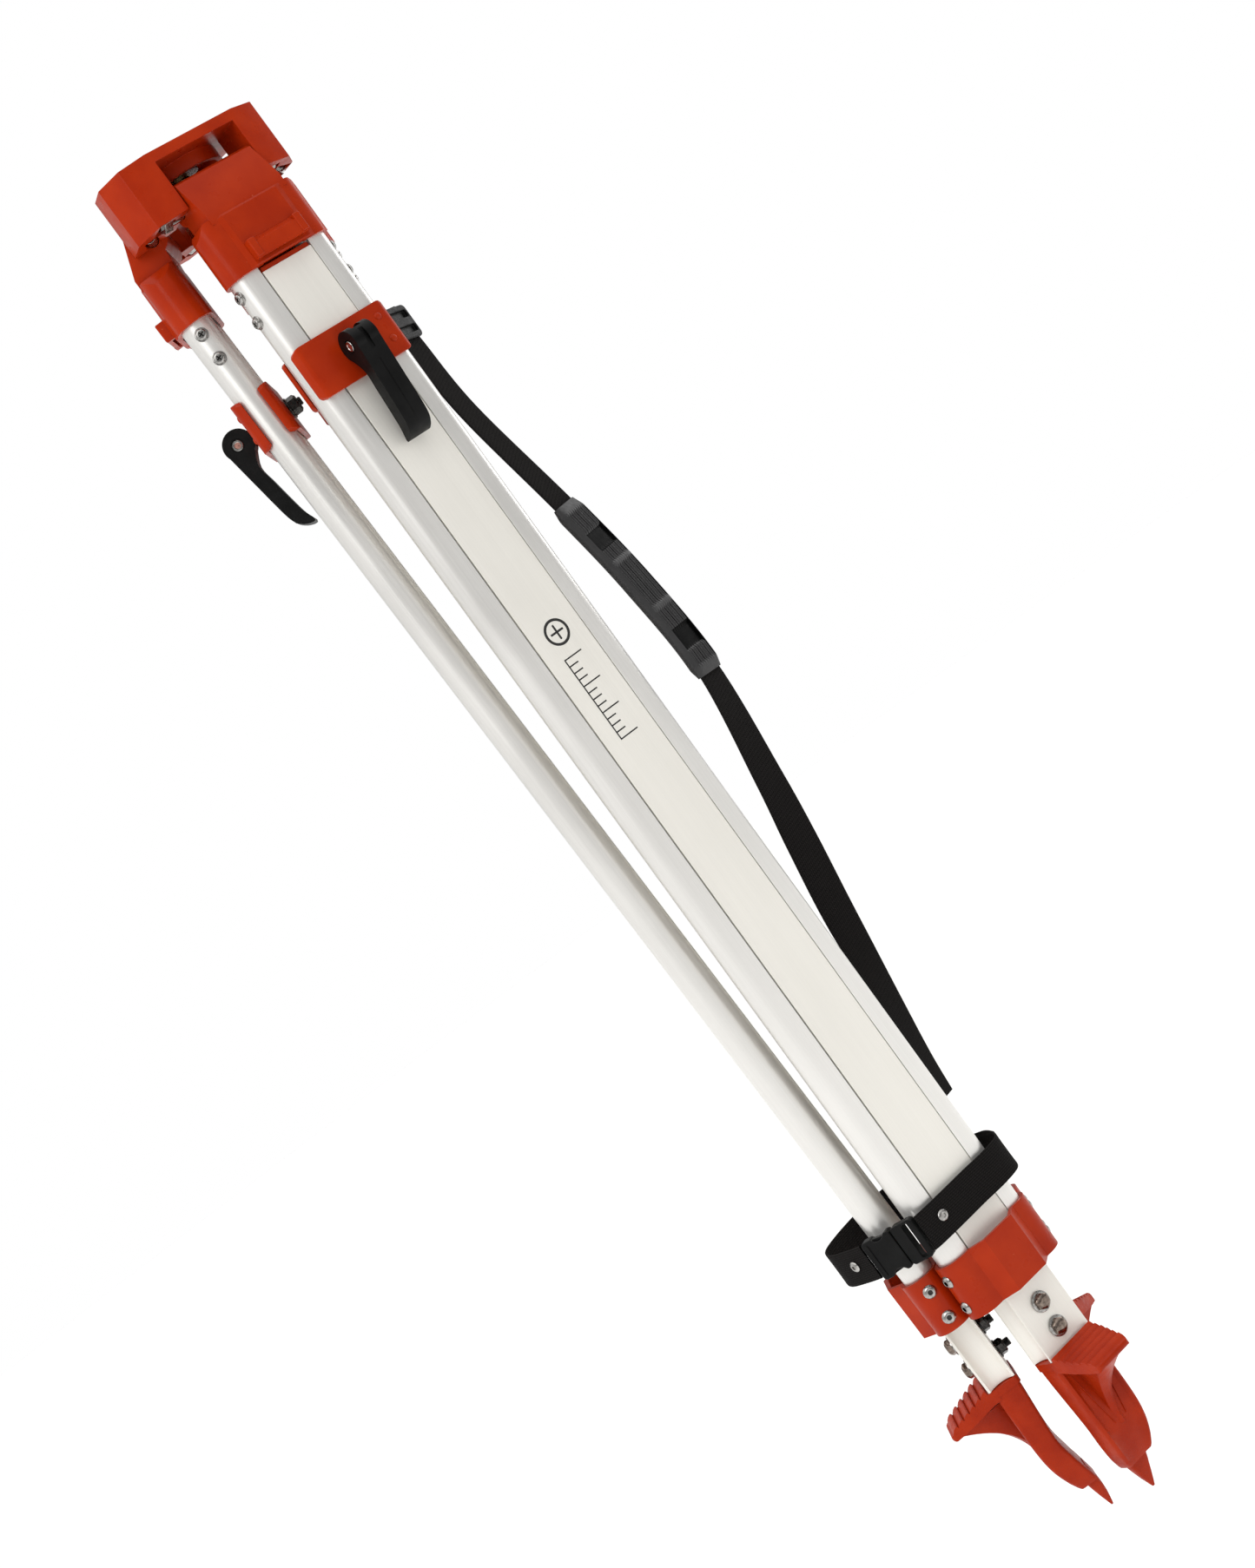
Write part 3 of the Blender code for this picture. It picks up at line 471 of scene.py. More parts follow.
def add_prism(bm, outline, low, high, axis="z"):
    put = AXIS_POINT[axis]
    add_rings(bm, [[put(a, b, t) for a, b in outline] for t in (low, high)])


def add_box(bm, x, y, z):
    add_prism(bm, [(x[0], y[0]), (x[1], y[0]), (x[1], y[1]), (x[0], y[1])], z[0], z[1])


def circle(sides):
    angles = [2 * math.pi * k / sides for k in range(sides)]
    return [(math.cos(a), math.sin(a)) for a in angles]


def add_turned(bm, profile, matrix, sides=32):
    """Turn a profile of (radius, height) pairs about z and place it by a matrix in mm."""
    add_rings(bm, [[matrix @ Vector((radius * c, radius * s, height)) for c, s in circle(sides)]
                   for radius, height in profile])


def arc(centre, radius, start, end, steps):
    points = []
    for i in range(steps + 1):
        angle = math.radians(start + (end - start) * i / steps)
        points.append((centre[0] + radius * math.cos(angle), centre[1] + radius * math.sin(angle)))
    return points


def rounded_outline(half_a, half_b, radius, steps=5, centre=(0.0, 0.0)):
    points = []
    for sign_a, sign_b, start in ((1, 1, 0), (-1, 1, 90), (-1, -1, 180), (1, -1, 270)):
        corner = (centre[0] + sign_a * (half_a - radius), centre[1] + sign_b * (half_b - radius))
        points += arc(corner, radius, start, start + 90, steps)
    return points


def facing(place, direction):
    """Matrix in mm whose z points along a direction."""
    turn = Vector(direction).to_track_quat("Z", "Y").to_matrix().to_4x4()
    return Matrix.Translation(Vector(place)) @ turn


def headings(route):
    """Step along a route at each of its points."""
    last = len(route) - 1
    return [route[min(i + 1, last)] - route[max(i - 1, 0)] for i in range(last + 1)]


def smooth_route(points, per_span):
    """Catmull-Rom curve through the points."""
    padded = [Vector(point) for point in [points[0], *points, points[-1]]]
    route = []
    for i in range(len(points) - 1):
        p0, p1, p2, p3 = padded[i:i + 4]
        for k in range(per_span):
            t = k / per_span
            route.append(0.5 * ((2 * p1) + (p2 - p0) * t + (2 * p0 - 5 * p1 + 4 * p2 - p3) * t * t
                                + (3 * p1 - p0 - 3 * p2 + p3) * t ** 3))
    route.append(padded[-2])
    return route


def cad_copy(node, material, inverse=None, weld=0.004, flat=1.0):
    """Copy of a CAD node's mesh with its facets joined, to be given finer edges."""
    bm = bmesh.new()
    bm.from_mesh(frame["nodes"][node].data)
    bmesh.ops.remove_doubles(bm, verts=bm.verts, dist=weld * MM)
    bmesh.ops.dissolve_limit(bm, angle_limit=math.radians(flat), verts=bm.verts, edges=bm.edges)
    if inverse is not None:
        bmesh.ops.transform(bm, matrix=inverse, verts=bm.verts)
    bmesh.ops.scale(bm, vec=(1 / MM, 1 / MM, 1 / MM), verts=bm.verts)
    for face in bm.faces:
        face.material_index = 0
    piece = close_mesh(bm, node + "_copy", material)
    for name in [a.name for a in piece.data.attributes if a.name.startswith("custom_normal")]:
        piece.data.attributes.remove(piece.data.attributes[name])
    piece.data.set_sharp_from_angle(angle=math.radians(SHARP_ANGLE))
    return piece


def carve(body, tool, operation="DIFFERENCE"):
    """Boolean a piece with a tool, then drop the tool."""
    modifier = body.modifiers.new("carve", "BOOLEAN")
    modifier.operation = operation
    modifier.solver = "EXACT"
    modifier.object = tool
    graph = bpy.context.evaluated_depsgraph_get()
    mesh = bpy.data.meshes.new_from_object(body.evaluated_get(graph))
    body.modifiers.clear()
    body.data = mesh
    mesh.shade_smooth()
    mesh.set_sharp_from_angle(angle=math.radians(SHARP_ANGLE))
    bpy.data.objects.remove(tool)
    return body


def dress(piece, body, nodes, slot=None):
    """Let a piece ride a body and stand for CAD nodes; its slot is worked out but not used."""
    slot = slot or SLOT_OF.get(piece.data.materials[0].name)
    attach(piece, body)
    if nodes:
        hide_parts(*nodes)


def on_legs(piece, name, body, stands_for=(), legs=LEGS):
    """Put a piece made in a leg's own axes on each leg's body."""
    copies = [piece] + [piece.copy() for _ in legs[1:]]
    for leg, copy in zip(legs, copies):
        if copy is not piece:
            bpy.context.scene.collection.objects.link(copy)
        copy.name = f"{name}_{leg}"
        copy.matrix_world = LEG_FRAMES[leg]
        dress(copy, f"{body}_{leg}", [f"{node}_{leg}" for node in stands_for])
    return piece


def on_body(piece, name, body, stands_for=(), slot=None):
    piece.name = name
    dress(piece, body, stands_for, slot)
    return piece


def finer_leg_copy(name, node, body, material, edge, segments=3):
    """Replace one CAD node on every leg by a copy with rounded edges."""
    piece = cad_copy(f"{node}_a", material, LEG_FRAMES["a"].inverted())
    return on_legs(soften(piece, edge, segments), name, body, (node,))


# ---------------------------------------------------------------- head

def finer_body_copy(node, body, material, edge, segments=3, name=None, slot=None):
    """Replace one CAD node by a copy with rounded edges."""
    piece = soften(cad_copy(node, material), edge, segments)
    on_body(piece, name or node + "_finish", body, (node,), slot)


def build_head():
    finer_body_copy("head_plate", "head", "red", 1.3, 4, "head_casting")
    for leg in LEGS:
        finer_body_copy(f"hinge_pin_{leg}", "head", "steel", 0.5, name=f"hinge_pin_finish_{leg}")
    # The screw arm and its steel pin take the blackened steel: painted shade in the hollow under the head
    # plate.
    finer_body_copy("screw_arm_pin", "head", "dark", 0.35, slot="steel")
    finer_body_copy("screw_arm", "screw_arm", "dark", 0.35)
    finer_body_copy("screw_bush", "screw_slide", "brass", 0.35)
    build_knob()
    build_hook()


THREAD_TOP = 1049.0
THREAD_FOOT = 1037.6
THREAD_DEPTH = 1.3
THREAD_PITCH = 2.31
SCREW_RADIUS = 7.9
NECK = [(3.6, 1029.5), (3.6, THREAD_FOOT)]
BARREL = [(7.6, 1009.5), (9.0, 1011.0), (9.0, 1032.2), (7.8, 1033.5)]
NOSE = [(4.2, 984.2), (5.0, 985.2), (5.0, 991.0), (4.6, 991.2)]
KNOB_RADIUS = 14.0
KNOB_TOP = 1012.0
KNOB_FOOT = 990.0
KNOB_LOBES = 12
KNOB_SIDES = 144
KNOB_FLUTE = 0.9


def axis_point(height):
    return Vector((TRIPOD_AXIS.x / MM, TRIPOD_AXIS.y / MM, height))


def build_knob():
    """Centring screw: ridged thread, neck, barrel and a fluted knob."""
    upright = Matrix.Translation(axis_point(0))
    root = SCREW_RADIUS - THREAD_DEPTH
    profile = NECK + [(root, THREAD_FOOT)]
    for i in range(int((THREAD_TOP - THREAD_FOOT) / THREAD_PITCH)):
        foot = THREAD_FOOT + 0.2 + i * THREAD_PITCH
        profile += [(root, foot), (SCREW_RADIUS, foot + THREAD_PITCH * 0.45),
                    (SCREW_RADIUS, foot + THREAD_PITCH * 0.6)]
    profile += [(root, THREAD_TOP - 0.2), (SCREW_RADIUS - 2.0, THREAD_TOP)]
    rings = []
    for height, reach in ((KNOB_FOOT, 0.90), (KNOB_FOOT + 1.6, 0.985), (KNOB_FOOT + 4, 1.0),
                          (KNOB_TOP - 3, 1.0), (KNOB_TOP - 1.0, 0.985), (KNOB_TOP, 0.90)):
        ring = []
        for k in range(KNOB_SIDES):
            angle = 2 * math.pi * k / KNOB_SIDES
            dip = KNOB_FLUTE * (0.5 - 0.5 * math.cos(KNOB_LOBES * angle)) ** 2
            radius = (KNOB_RADIUS - dip) * reach
            ring.append(axis_point(height) + Vector((radius * math.cos(angle), radius * math.sin(angle), 0)))
        rings.append(ring)
    parts = [(add_turned, profile, upright, 40), (add_turned, BARREL, upright, 40), (add_rings, rings),
             (add_turned, NOSE, upright, 32)]
    on_body(solid("knob", "brass", parts), "centring_screw_finish", "screw", ("centring_screw",))


# The same route as the CAD hook, from its eye in the screw's nose to the open hook
HOOK_ROUTE = [(4.6, 0.0, 0.0), (-4.2, 0.0, 0.0), (-6.6, 0.4, -3.5), (-3.8, 0.6, -14.0), (-0.6, 0.5, -30.0),
              (0.0, 0.0, -50.0), (0.6, -0.8, -62.0), (5.4, -1.4, -70.0), (3.2, -1.6, -78.0),
              (-3.6, -1.2, -77.0), (-5.2, -0.8, -71.0)]
HOOK_EYE = 986.5
WIRE_RADIUS = 1.1


def add_tube(bm, route, radius, sides=14):
    """Round bar along a route, with rounded ends."""
    rings = []
    side = Vector((0, 1, 0))
    for i, (point, ahead) in enumerate(zip(route, headings(route))):
        other = ahead.normalized().cross(side).normalized()
        width = radius * (0.6 if i in (0, len(route) - 1) else 1.0)
        rings.append([point + side * width * c + other * width * s for c, s in circle(sides)])
    add_rings(bm, rings)


def build_hook():
    route = [axis_point(HOOK_EYE) + point for point in smooth_route(HOOK_ROUTE, 8)]
    hook = solid("hook", "steel", [(add_tube, route, WIRE_RADIUS)], 60)
    on_body(hook, "plumb_hook_finish", "hook", ("plumb_hook",))


# ---------------------------------------------------------------- leg tubes

TUBE_CENTRE = 26.5
TUBE_RADIUS = 10.7
TUBE_EDGE = TUBE_CENTRE + TUBE_RADIUS
LIP_X = 20.4
BULGE_CENTRE = 25.3
BULGE_RADIUS = 9.6
BULGE_PLAY = 0.8
WALL = 1.6
RAIL_TOP = -25.0
RAIL_BOTTOM = -846.0
PANEL_HALF = 19.55
PANEL_FRONT = 10.3
INNER_TOP = -61.0
INNER_BOTTOM = -900.0
INNER_SHIFT = 0.45


def rail_outline(inset=0.0):
    points = arc((TUBE_CENTRE, 0), TUBE_RADIUS - inset, -90, 90, 40)
    points.append((LIP_X + inset, TUBE_RADIUS - inset))
    points += arc((BULGE_CENTRE, 0), BULGE_RADIUS - inset, 122, 238, 24)
    points.append((LIP_X + inset, inset - TUBE_RADIUS))
    return points


def inner_outline(inset=0.0):
    radius = BULGE_RADIUS + BULGE_PLAY + inset
    reach = math.degrees(math.acos((BULGE_CENTRE - PANEL_HALF + inset) / radius))
    half = PANEL_HALF - inset
    front = PANEL_FRONT - inset
    right = [(half, -front)] + arc((BULGE_CENTRE, 0), radius, 180 + reach, 180 - reach, 24)
    right.append((half, front))
    return right + [(-x, -y) for x, y in right]


def hollow_bar(name, material, outer, inner, low, high):
    rings = [[(a, b, z) for a, b in outline]
             for outline, z in ((outer, low), (outer, high), (inner, high), (inner, low))]
    return soften(solid(name, material, [(add_rings, rings, True)]), 0.3, 2, 40)


def build_tubes():
    for side, word in ((-1, "left"), (1, "right")):
        outer, inner = ([(side * x, y) for x, y in rail_outline(inset)] for inset in (0, WALL))
        bar = hollow_bar("tube", "tube", outer, inner, RAIL_BOTTOM, RAIL_TOP)
        on_legs(bar, f"tube_{word}", "leg", (f"rail_{word}",))
    outer, inner = ([(x + INNER_SHIFT, y) for x, y in inner_outline(inset)] for inset in (0, WALL))
    bar = hollow_bar("panel", "panel", outer, inner, INNER_BOTTOM, INNER_TOP)
    on_legs(bar, "sliding_leg", "inner_leg", ("inner_rail",))


# ---------------------------------------------------------------- fasteners

PAN_SCREWS = (-66.3, -84.5)
SLEEVE_RIVETS = (-819.0, -839.0)
SLEEVE_HALF = 40.4
SLEEVE_DEPTH = 13.5
FOOT_BOLTS = {"upper": -866.5, "lower": -885.5}
# Profiles of (radius, height) pairs
PAN_HEAD = [(4.5, -0.2), (4.6, 0.2), (4.4, 0.5), (3.6, 0.6), (3.55, 0.9), (3.6, 1.2), (3.45, 1.7),
            (3.0, 2.15), (2.4, 2.35)]
HEAD_WASHER = [(6.8, 0.0), (7.0, 0.3), (6.9, 1.0), (6.4, 1.2)]
NUT_WASHER = [(6.4, 0.0), (6.6, 0.3), (6.5, 1.0), (6.0, 1.2)]


def pan_screw_mesh():
    """Pan head with a cross recess on a thin washer, standing along +z from 0."""
    screw = solid("pan_screw", "steel", [(add_turned, PAN_HEAD, Matrix.Identity(4), 40)], 40)
    # Second slot: the cross recess walls take the blackened steel, painted shade in the recess.
    screw.data.materials.append(MATERIALS["dark"])
    a, b = 1.95, 0.42
    cross = [(a, b), (b, b), (b, a), (-b, a), (-b, b), (-a, b),
             (-a, -b), (-b, -b), (-b, -a), (b, -a), (b, -b), (a, -b)]
    bm = bmesh.new()
    add_prism(bm, cross, 1.2, 4.0)
    bmesh.ops.rotate(bm, matrix=Matrix.Rotation(math.radians(20), 3, "Z"), verts=bm.verts)
    return carve(screw, close_mesh(bm, "cross", "dark"))


def dome_rivet_mesh(radius=4.5, height=1.9, core="dark"):
    """Blind rivet: a domed flange with a ring and the broken stem in its middle."""
    profile = [(radius * 0.98, -0.2), (radius, 0.25), (radius * 0.93, 0.75), (radius * 0.70, height * 0.86),
               (radius * 0.46, height), (radius * 0.36, height * 0.94), (radius * 0.33, height * 0.45),
               (0.05, height * 0.4)]
    piece = solid("rivet", "steel", [(add_turned, profile, Matrix.Identity(4), 40)], 40)
    piece.data.materials.append(MATERIALS[core])
    for face in piece.data.polygons:
        if math.hypot(face.center.x, face.center.y) < radius * 0.35 * MM and face.center.z > 0:
            face.material_index = 1
    return piece


def stud(template, name, body, place, direction, body_frame):
    """A fastener whose z stands along a direction in the body frame, in mm."""
    piece = add_object(name, template.data)
    matrix = facing(place, direction)
    matrix.translation *= MM
    piece.matrix_world = body_frame @ matrix
    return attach(piece, body)


def build_fasteners():
    kinds = (("tube_screw", pan_screw_mesh(), TUBE_EDGE - 0.1, PAN_SCREWS),
             ("sleeve_rivet", dome_rivet_mesh(), SLEEVE_HALF - 0.25, SLEEVE_RIVETS))
    for leg in LEGS:
        for side, word in ((-1, "left"), (1, "right")):
            for name, template, reach, heights in kinds:
                for index, z in enumerate(heights):
                    stud(template, f"{name}_{word}_{index + 1}_{leg}", f"leg_{leg}", (side * reach, 0, z),
                         (side, 0, 0), LEG_FRAMES[leg])
    for _, template, _, _ in kinds:
        bpy.data.objects.remove(template)
    build_foot_bolts()


HEX_SIDES = 48
HEX_CORNER = 1.158                    # reach of a hexagon's corner, in halves across its flats
HEX_CHAMFER = 1.5


def add_hex(bm, across, low, high, matrix, crown=0.0):
    """Hexagonal bar with its corners turned down at the high end."""
    rings = []
    for height in [low, high - HEX_CHAMFER, high - 1.1, high - 0.7, high - 0.3, high]:
        limit = across * HEX_CORNER - max(0.0, height - (high - HEX_CHAMFER)) * 1.15
        ring = []
        for k in range(HEX_SIDES):
            angle = 2 * math.pi * k / HEX_SIDES
            flat = across / math.cos((angle + math.pi / 6) % (math.pi / 3) - math.pi / 6)
            radius = min(flat, limit)
            ring.append(matrix @ Vector((radius * math.cos(angle), radius * math.sin(angle), height)))
        rings.append(ring)
    if crown:
        for share, rise in ((0.70, 0.55), (0.40, 0.9), (0.10, 1.0)):
            rings.append([matrix @ Vector((across * share * c, across * share * s, high + crown * rise))
                          for c, s in circle(HEX_SIDES)])
    add_rings(bm, rings)


def add_thread(bm, radius, low, high, matrix, pitch=1.0):
    root = radius - 0.35
    profile = [(root, low)]
    height = low
    while height + pitch < high:
        profile += [(root, height + 0.1), (radius, height + pitch * 0.45),
                    (radius, height + pitch * 0.6), (root, height + pitch * 0.95)]
        height += pitch
    profile += [(radius - 0.6, high)]
    add_turned(bm, profile, matrix, 28)


def build_foot_bolts():
    """Crowned hex heads on washers in front, black nuts on the thread behind."""
    face = PANEL_FRONT + 0.3
    for word, z in FOOT_BOLTS.items():
        front = facing((0, -face, z), (0, -1, 0))
        back = facing((0, face, z), (0, 1, 0))
        nut = [(add_turned, NUT_WASHER, back, 48), (add_hex, 5.0, 1.1, 6.0, back),
               (add_thread, 3.0, 5.5, 9.9, back)]
        for name, material, parts, smooth in (("washer", "steel", [(add_turned, HEAD_WASHER, front, 48)], 40),
                                              ("head", "bronze", [(add_hex, 5.0, 1.1, 4.6, front, 0.7)], 28),
                                              ("nut", "dark", nut, 28)):
            piece = solid(name, material, parts, smooth)
            on_legs(piece, f"foot_bolt_{word}_{name}", "inner_leg", (f"foot_bolt_{word}",))


# ---------------------------------------------------------------- leg castings

BRACKET_BOTTOM = -57.5
BRACKET_TOP = -18.0
LOWER_TOP = -809.0
LOWER_BOTTOM = -848.0
# Height and how far the bracket's raised face stands proud there
RAISED_FACE = ((BRACKET_BOTTOM + 0.3, 1.5), (BRACKET_BOTTOM + 1.2, 2.0), (BRACKET_TOP - 2.0, 1.1),
               (BRACKET_TOP - 0.6, 0.0))
TAB_X = 18.2
TAB_HALF = 2.6


def flat_oval(half_width, depth, steps=26):
    centre = half_width - depth
    return arc((centre, 0), depth, -90, 90, steps) + arc((-centre, 0), depth, 90, 270, steps)


def bridge_outline(inset):
    return [(-23.5 + inset, -8), (-23.5 + inset, -12.6 + inset / 2), (-13.2 + inset / 3, -22 + inset),
            (13.2 - inset / 3, -22 + inset), (23.5 - inset, -12.6 + inset / 2), (23.5 - inset, -8)]


def build_lower_bracket():
    """Sleeve round both tubes with a creased, raised front that clears the clamp bolt's washers."""
    sleeve = flat_oval(SLEEVE_HALF, SLEEVE_DEPTH)
    body = solid("sleeve", "red", [(add_prism, sleeve, LOWER_BOTTOM, LOWER_TOP)])
    shapes = ((bridge_outline(0), 0, "UNION"), (flat_oval(37.5, 11.0), 5, "DIFFERENCE"),
              (bridge_outline(3.0), 5, "DIFFERENCE"))
    for outline, past, operation in shapes:
        tool = solid("tool", "red", [(add_prism, outline, LOWER_BOTTOM - past, LOWER_TOP + past)])
        carve(body, tool, operation)
    body.data.set_sharp_from_angle(angle=math.radians(14))
    on_legs(soften(body, 0.5, 2, 30), "lower_bracket_finish", "leg", ("lower_bracket",))


def build_brackets():
    finer_leg_copy("top_bracket_finish", "top_bracket", "leg", "red", 1.0)
    build_lower_bracket()
    rings = []
    for z, proud in RAISED_FACE:
        front = -SLEEVE_DEPTH - proud
        rings.append([(-25.5, -12.2, z), (-25.5, -13.4, z), (-21.4, front, z), (21.4, front, z),
                      (25.5, -13.4, z), (25.5, -12.2, z)])
    on_legs(solid("raised_face", "red", [(add_rings, rings)], 8), "bracket_face", "leg")
    middle = (INNER_SHIFT, 0)
    plate = rounded_outline(PANEL_HALF - 0.6, PANEL_FRONT - 0.3, 1.0, 3, middle)
    plug = rounded_outline(15.0, 8.2, 1.0, 3, middle)
    cap = solid("cap", "red", [(add_prism, plate, INNER_TOP - 0.5, INNER_TOP + 3.0),
                               (add_prism, plug, INNER_TOP - 12.0, INNER_TOP - 0.3)])
    on_legs(soften(cap, 0.4), "sliding_leg_cap", "inner_leg")
    tabs = solid("tabs", "red", [(add_box, (side * TAB_X - TAB_HALF, side * TAB_X + TAB_HALF),
                                  (-21.2, -13.0), (-54.0, -41.2)) for side in (-1, 1)])
    on_legs(soften(tabs, 0.9), "bridge_tabs", "leg")


# ---------------------------------------------------------------- clamp

CLAMP_Z = -130.0
CAM_PIN_Y = -25.4
CAM_Y = CAM_PIN_Y + 0.6
CAM_RADIUS = 10.5
LEVER_HALF = 8.8
CAM_PIN = (0, CAM_PIN_Y, CLAMP_Z)
NUBS = [(2.6, -0.8), (2.5, 0.3), (1.9, 0.9), (0.8, 1.2), (0.05, 1.25)]
FLANGE = [(7.1, 14.3), (7.4, 14.6), (7.4, 15.4), (6.6, 16.0)]
BOLT_EYE = [(4.9, -3.1), (5.4, -2.7), (5.4, 2.7), (4.9, 3.1)]
PIN_RING = [(2.4, 0.5), (2.4, LEVER_HALF - 0.7), (3.5, LEVER_HALF - 0.6), (3.5, LEVER_HALF + 0.1),
            (3.2, LEVER_HALF + 0.4), (2.3, LEVER_HALF + 0.4), (2.0, LEVER_HALF + 0.1),
            (1.6, LEVER_HALF + 0.1), (0.05, LEVER_HALF + 0.2)]
PIN_CORE = 2.05


def build_clamp_bolt():
    """Eye bolt with its thread and flanged nut behind the leg."""
    behind = facing((0, 0, CLAMP_Z), (0, 1, 0))
    across = facing(CAM_PIN, (1, 0, 0))
    bolt = solid("bolt", "dark", [(add_turned, [(3.0, CAM_PIN_Y + 4.5), (3.0, 21.0)], behind, 32)])
    carve(bolt, solid("eye", "dark", [(add_turned, BOLT_EYE, across, 40)]), "UNION")
    carve(bolt, solid("bore", "dark", [(add_turned, [(2.7, -6), (2.7, 6)], across, 32)]))
    on_legs(bolt, "clamp_bolt_finish", "inner_leg", ("clamp_bolt",))
    thread = solid("thread", "dark", [(add_thread, 3.0, 20.5, 24.0, behind)])
    on_legs(thread, "clamp_thread", "inner_leg", ("clamp_bolt",))
    nut = solid("nut", "dark", [(add_turned, FLANGE, behind, 48), (add_hex, 5.6, 15.9, 22.0, behind)], 28)
    on_legs(nut, "clamp_nut_finish", "inner_leg", ("clamp_nut",))


def build_clamp():
    finer_leg_copy("clamp_front_finish", "clamp_front", "clamp_plate", "red", 1.3, 5)
    finer_leg_copy("clamp_back_finish", "clamp_back", "inner_leg", "red", 1.3, 5)
    build_clamp_bolt()
    nubs = solid("nubs", "red", [(add_turned, NUBS, facing((27.0, -13.8, z), (0, -1, 0)), 24)
                                 for z in (CLAMP_Z + 9.0, CLAMP_Z - 7.5)], 60)
    on_legs(nubs, "clamp_nubs", "clamp_plate")
    build_lever()


# Front and back edges of the lever seen from its side, from the cam down to the tip
LEVER_FRONT = [(CAM_Y - 9.9, CLAMP_Z - 2.5), (-33.0, -146.0), (-31.2, -160.0), (-29.4, -174.0),
               (-27.9, -184.0), (-25.9, -190.5), (-22.0, -194.6), (-17.4, -196.8), (-15.0, -196.9)]
LEVER_BACK = [(-14.4, -195.4), (-15.6, -192.2), (-17.6, -186.0), (-19.4, -174.0), (-21.2, -160.0),
              (-22.6, -148.0), (CAM_Y + 6.6, CLAMP_Z - 8.2)]


def lever_side():
    edges = []
    for edge in (LEVER_FRONT, LEVER_BACK):
        edges += [(point.x, point.y) for point in smooth_route(edge, 4)]
    return edges


def build_lever():
    """Cam lever: round cheeks with a slot between them, a handle with a mould seam, pin ring."""
    cheeks = [(CAM_RADIUS, -LEVER_HALF), (CAM_RADIUS, LEVER_HALF)]
    lever = solid("lever", "nylon", [(add_turned, cheeks, facing((0, CAM_Y, CLAMP_Z), (1, 0, 0)), 56)])
    handle = (add_prism, lever_side(), -LEVER_HALF, LEVER_HALF, "x")
    carve(lever, solid("handle", "nylon", [handle]), "UNION")
    cheek = LEVER_HALF - 0.8
    hollow = [(4.6, 0), (4.6, 1.4)]
    bore = [(2.75, -LEVER_HALF - 2), (2.75, LEVER_HALF + 2)]
    cuts = ((add_box, (-3.6, 3.6), (CAM_PIN_Y - 6.2, 0), (CLAMP_Z - 6.2, CLAMP_Z + 20)),
            (add_box, (-1.6, 1.6), (CAM_Y - 12, CAM_Y - 8.6), (CLAMP_Z - 9, CLAMP_Z + 6)),
            (add_turned, hollow, facing((-cheek, *CAM_PIN[1:]), (-1, 0, 0)), 40),
            (add_turned, hollow, facing((cheek, *CAM_PIN[1:]), (1, 0, 0)), 40),
            (add_turned, bore, facing(CAM_PIN, (1, 0, 0)), 32))
    for cut in cuts:
        carve(lever, solid("cut", "nylon", [cut]))
    on_legs(soften(lever, 1.0, 3, 40), "lever_finish", "lever", ("clamp_lever",))
    ridge = [(y - 0.28, z) for y, z in LEVER_FRONT[1:6]]
    seam = ridge + [(y + 1.6, z) for y, z in reversed(ridge)]
    on_legs(solid("seam", "nylon", [(add_prism, seam, -0.3, 0.3, "x")]), "lever_seam", "lever")
    rings = [(add_turned, PIN_RING, facing(CAM_PIN, (side, 0, 0)), 32) for side in (-1, 1)]
    pin = solid("pin", "steel", rings, 40)
    pin.data.materials.append(MATERIALS["copper"])
    for polygon in pin.data.polygons:
        spot = polygon.center - Vector(CAM_PIN) * MM
        if math.hypot(spot.y, spot.z) < PIN_CORE * MM and abs(spot.x) > LEVER_HALF * MM:
            polygon.material_index = 1
    on_legs(pin, "lever_pin_finish", "inner_leg", ("lever_pin",))


# ---------------------------------------------------------------- foot

FOOT_BASE = -900.3
TREAD_REACH = 47.0
TREAD_RIBS = 6
TREAD_START = -11.4
TREAD_HALF = 20
TIP_Z = -1012.0
GUSSET_STEPS = 18
LINE_Y = -8.1

# Height, front, back, half width and dish of the front face, down the blade
BLADE_RINGS = [(-902.0, -8.5, 10.5, 18.8, 0.0), (-920.0, -9.0, 9.0, 18.8, 1.6),
               (-950.0, -9.6, 6.4, 18.3, 1.9), (-966.0, -8.4, 8.2, 17.2, 1.6),
               (-978.0, -5.2, 10.6, 15.2, 1.2), (-986.0, -2.0, 12.2, 12.8, 0.7),
               (-989.0, -0.4, 12.7, 11.4, 0.4)]
SPIKE_RINGS = [(-978.0, 2.6, 11.2, 8.8, 0.0), (-990.0, 4.0, 12.5, 8.2, 0.0),
               (-1000.0, 5.9, 12.4, 5.4, 0.0), (-1008.0, 7.8, 11.1, 2.4, 0.0), (TIP_Z, 8.8, 10.2, 0.8, 0.0)]
# Place across, height and half width down the raised line on either side of the blade
BLADE_LINE = ((12.8, FOOT_BASE - 14, 0.5), (8.6, FOOT_BASE - 40, 0.45), (5.4, FOOT_BASE - 58, 0.3))


def blade_section(z, front, back, half, dish, corner=2.6):
    """Rounded box seen from above, its front face sunk between two rims."""
    corner = min(corner, half * 0.45, (back - front) * 0.45)
    points = arc((half - corner, back - corner), corner, 0, 90, 4)
    points += arc((corner - half, back - corner), corner, 90, 180, 4)
    points += arc((corner - half, front + corner), corner, 180, 262, 4)
    rim = max(half - 4.6, half * 0.4)
    points += [(-rim, front + dish), (-rim * 0.5, front + dish), (0.0, front + dish * 0.92),
               (rim * 0.5, front + dish), (rim, front + dish)]
    points += arc((half - corner, front + corner), corner, 278, 360, 4)
    return [(x, y, z) for x, y in points]


def lofted(rings):
    sections = [blade_section(*ring) for ring in smooth_route(rings, 5)]
    return solid("loft", "cast", [(add_rings, sections)], 30)


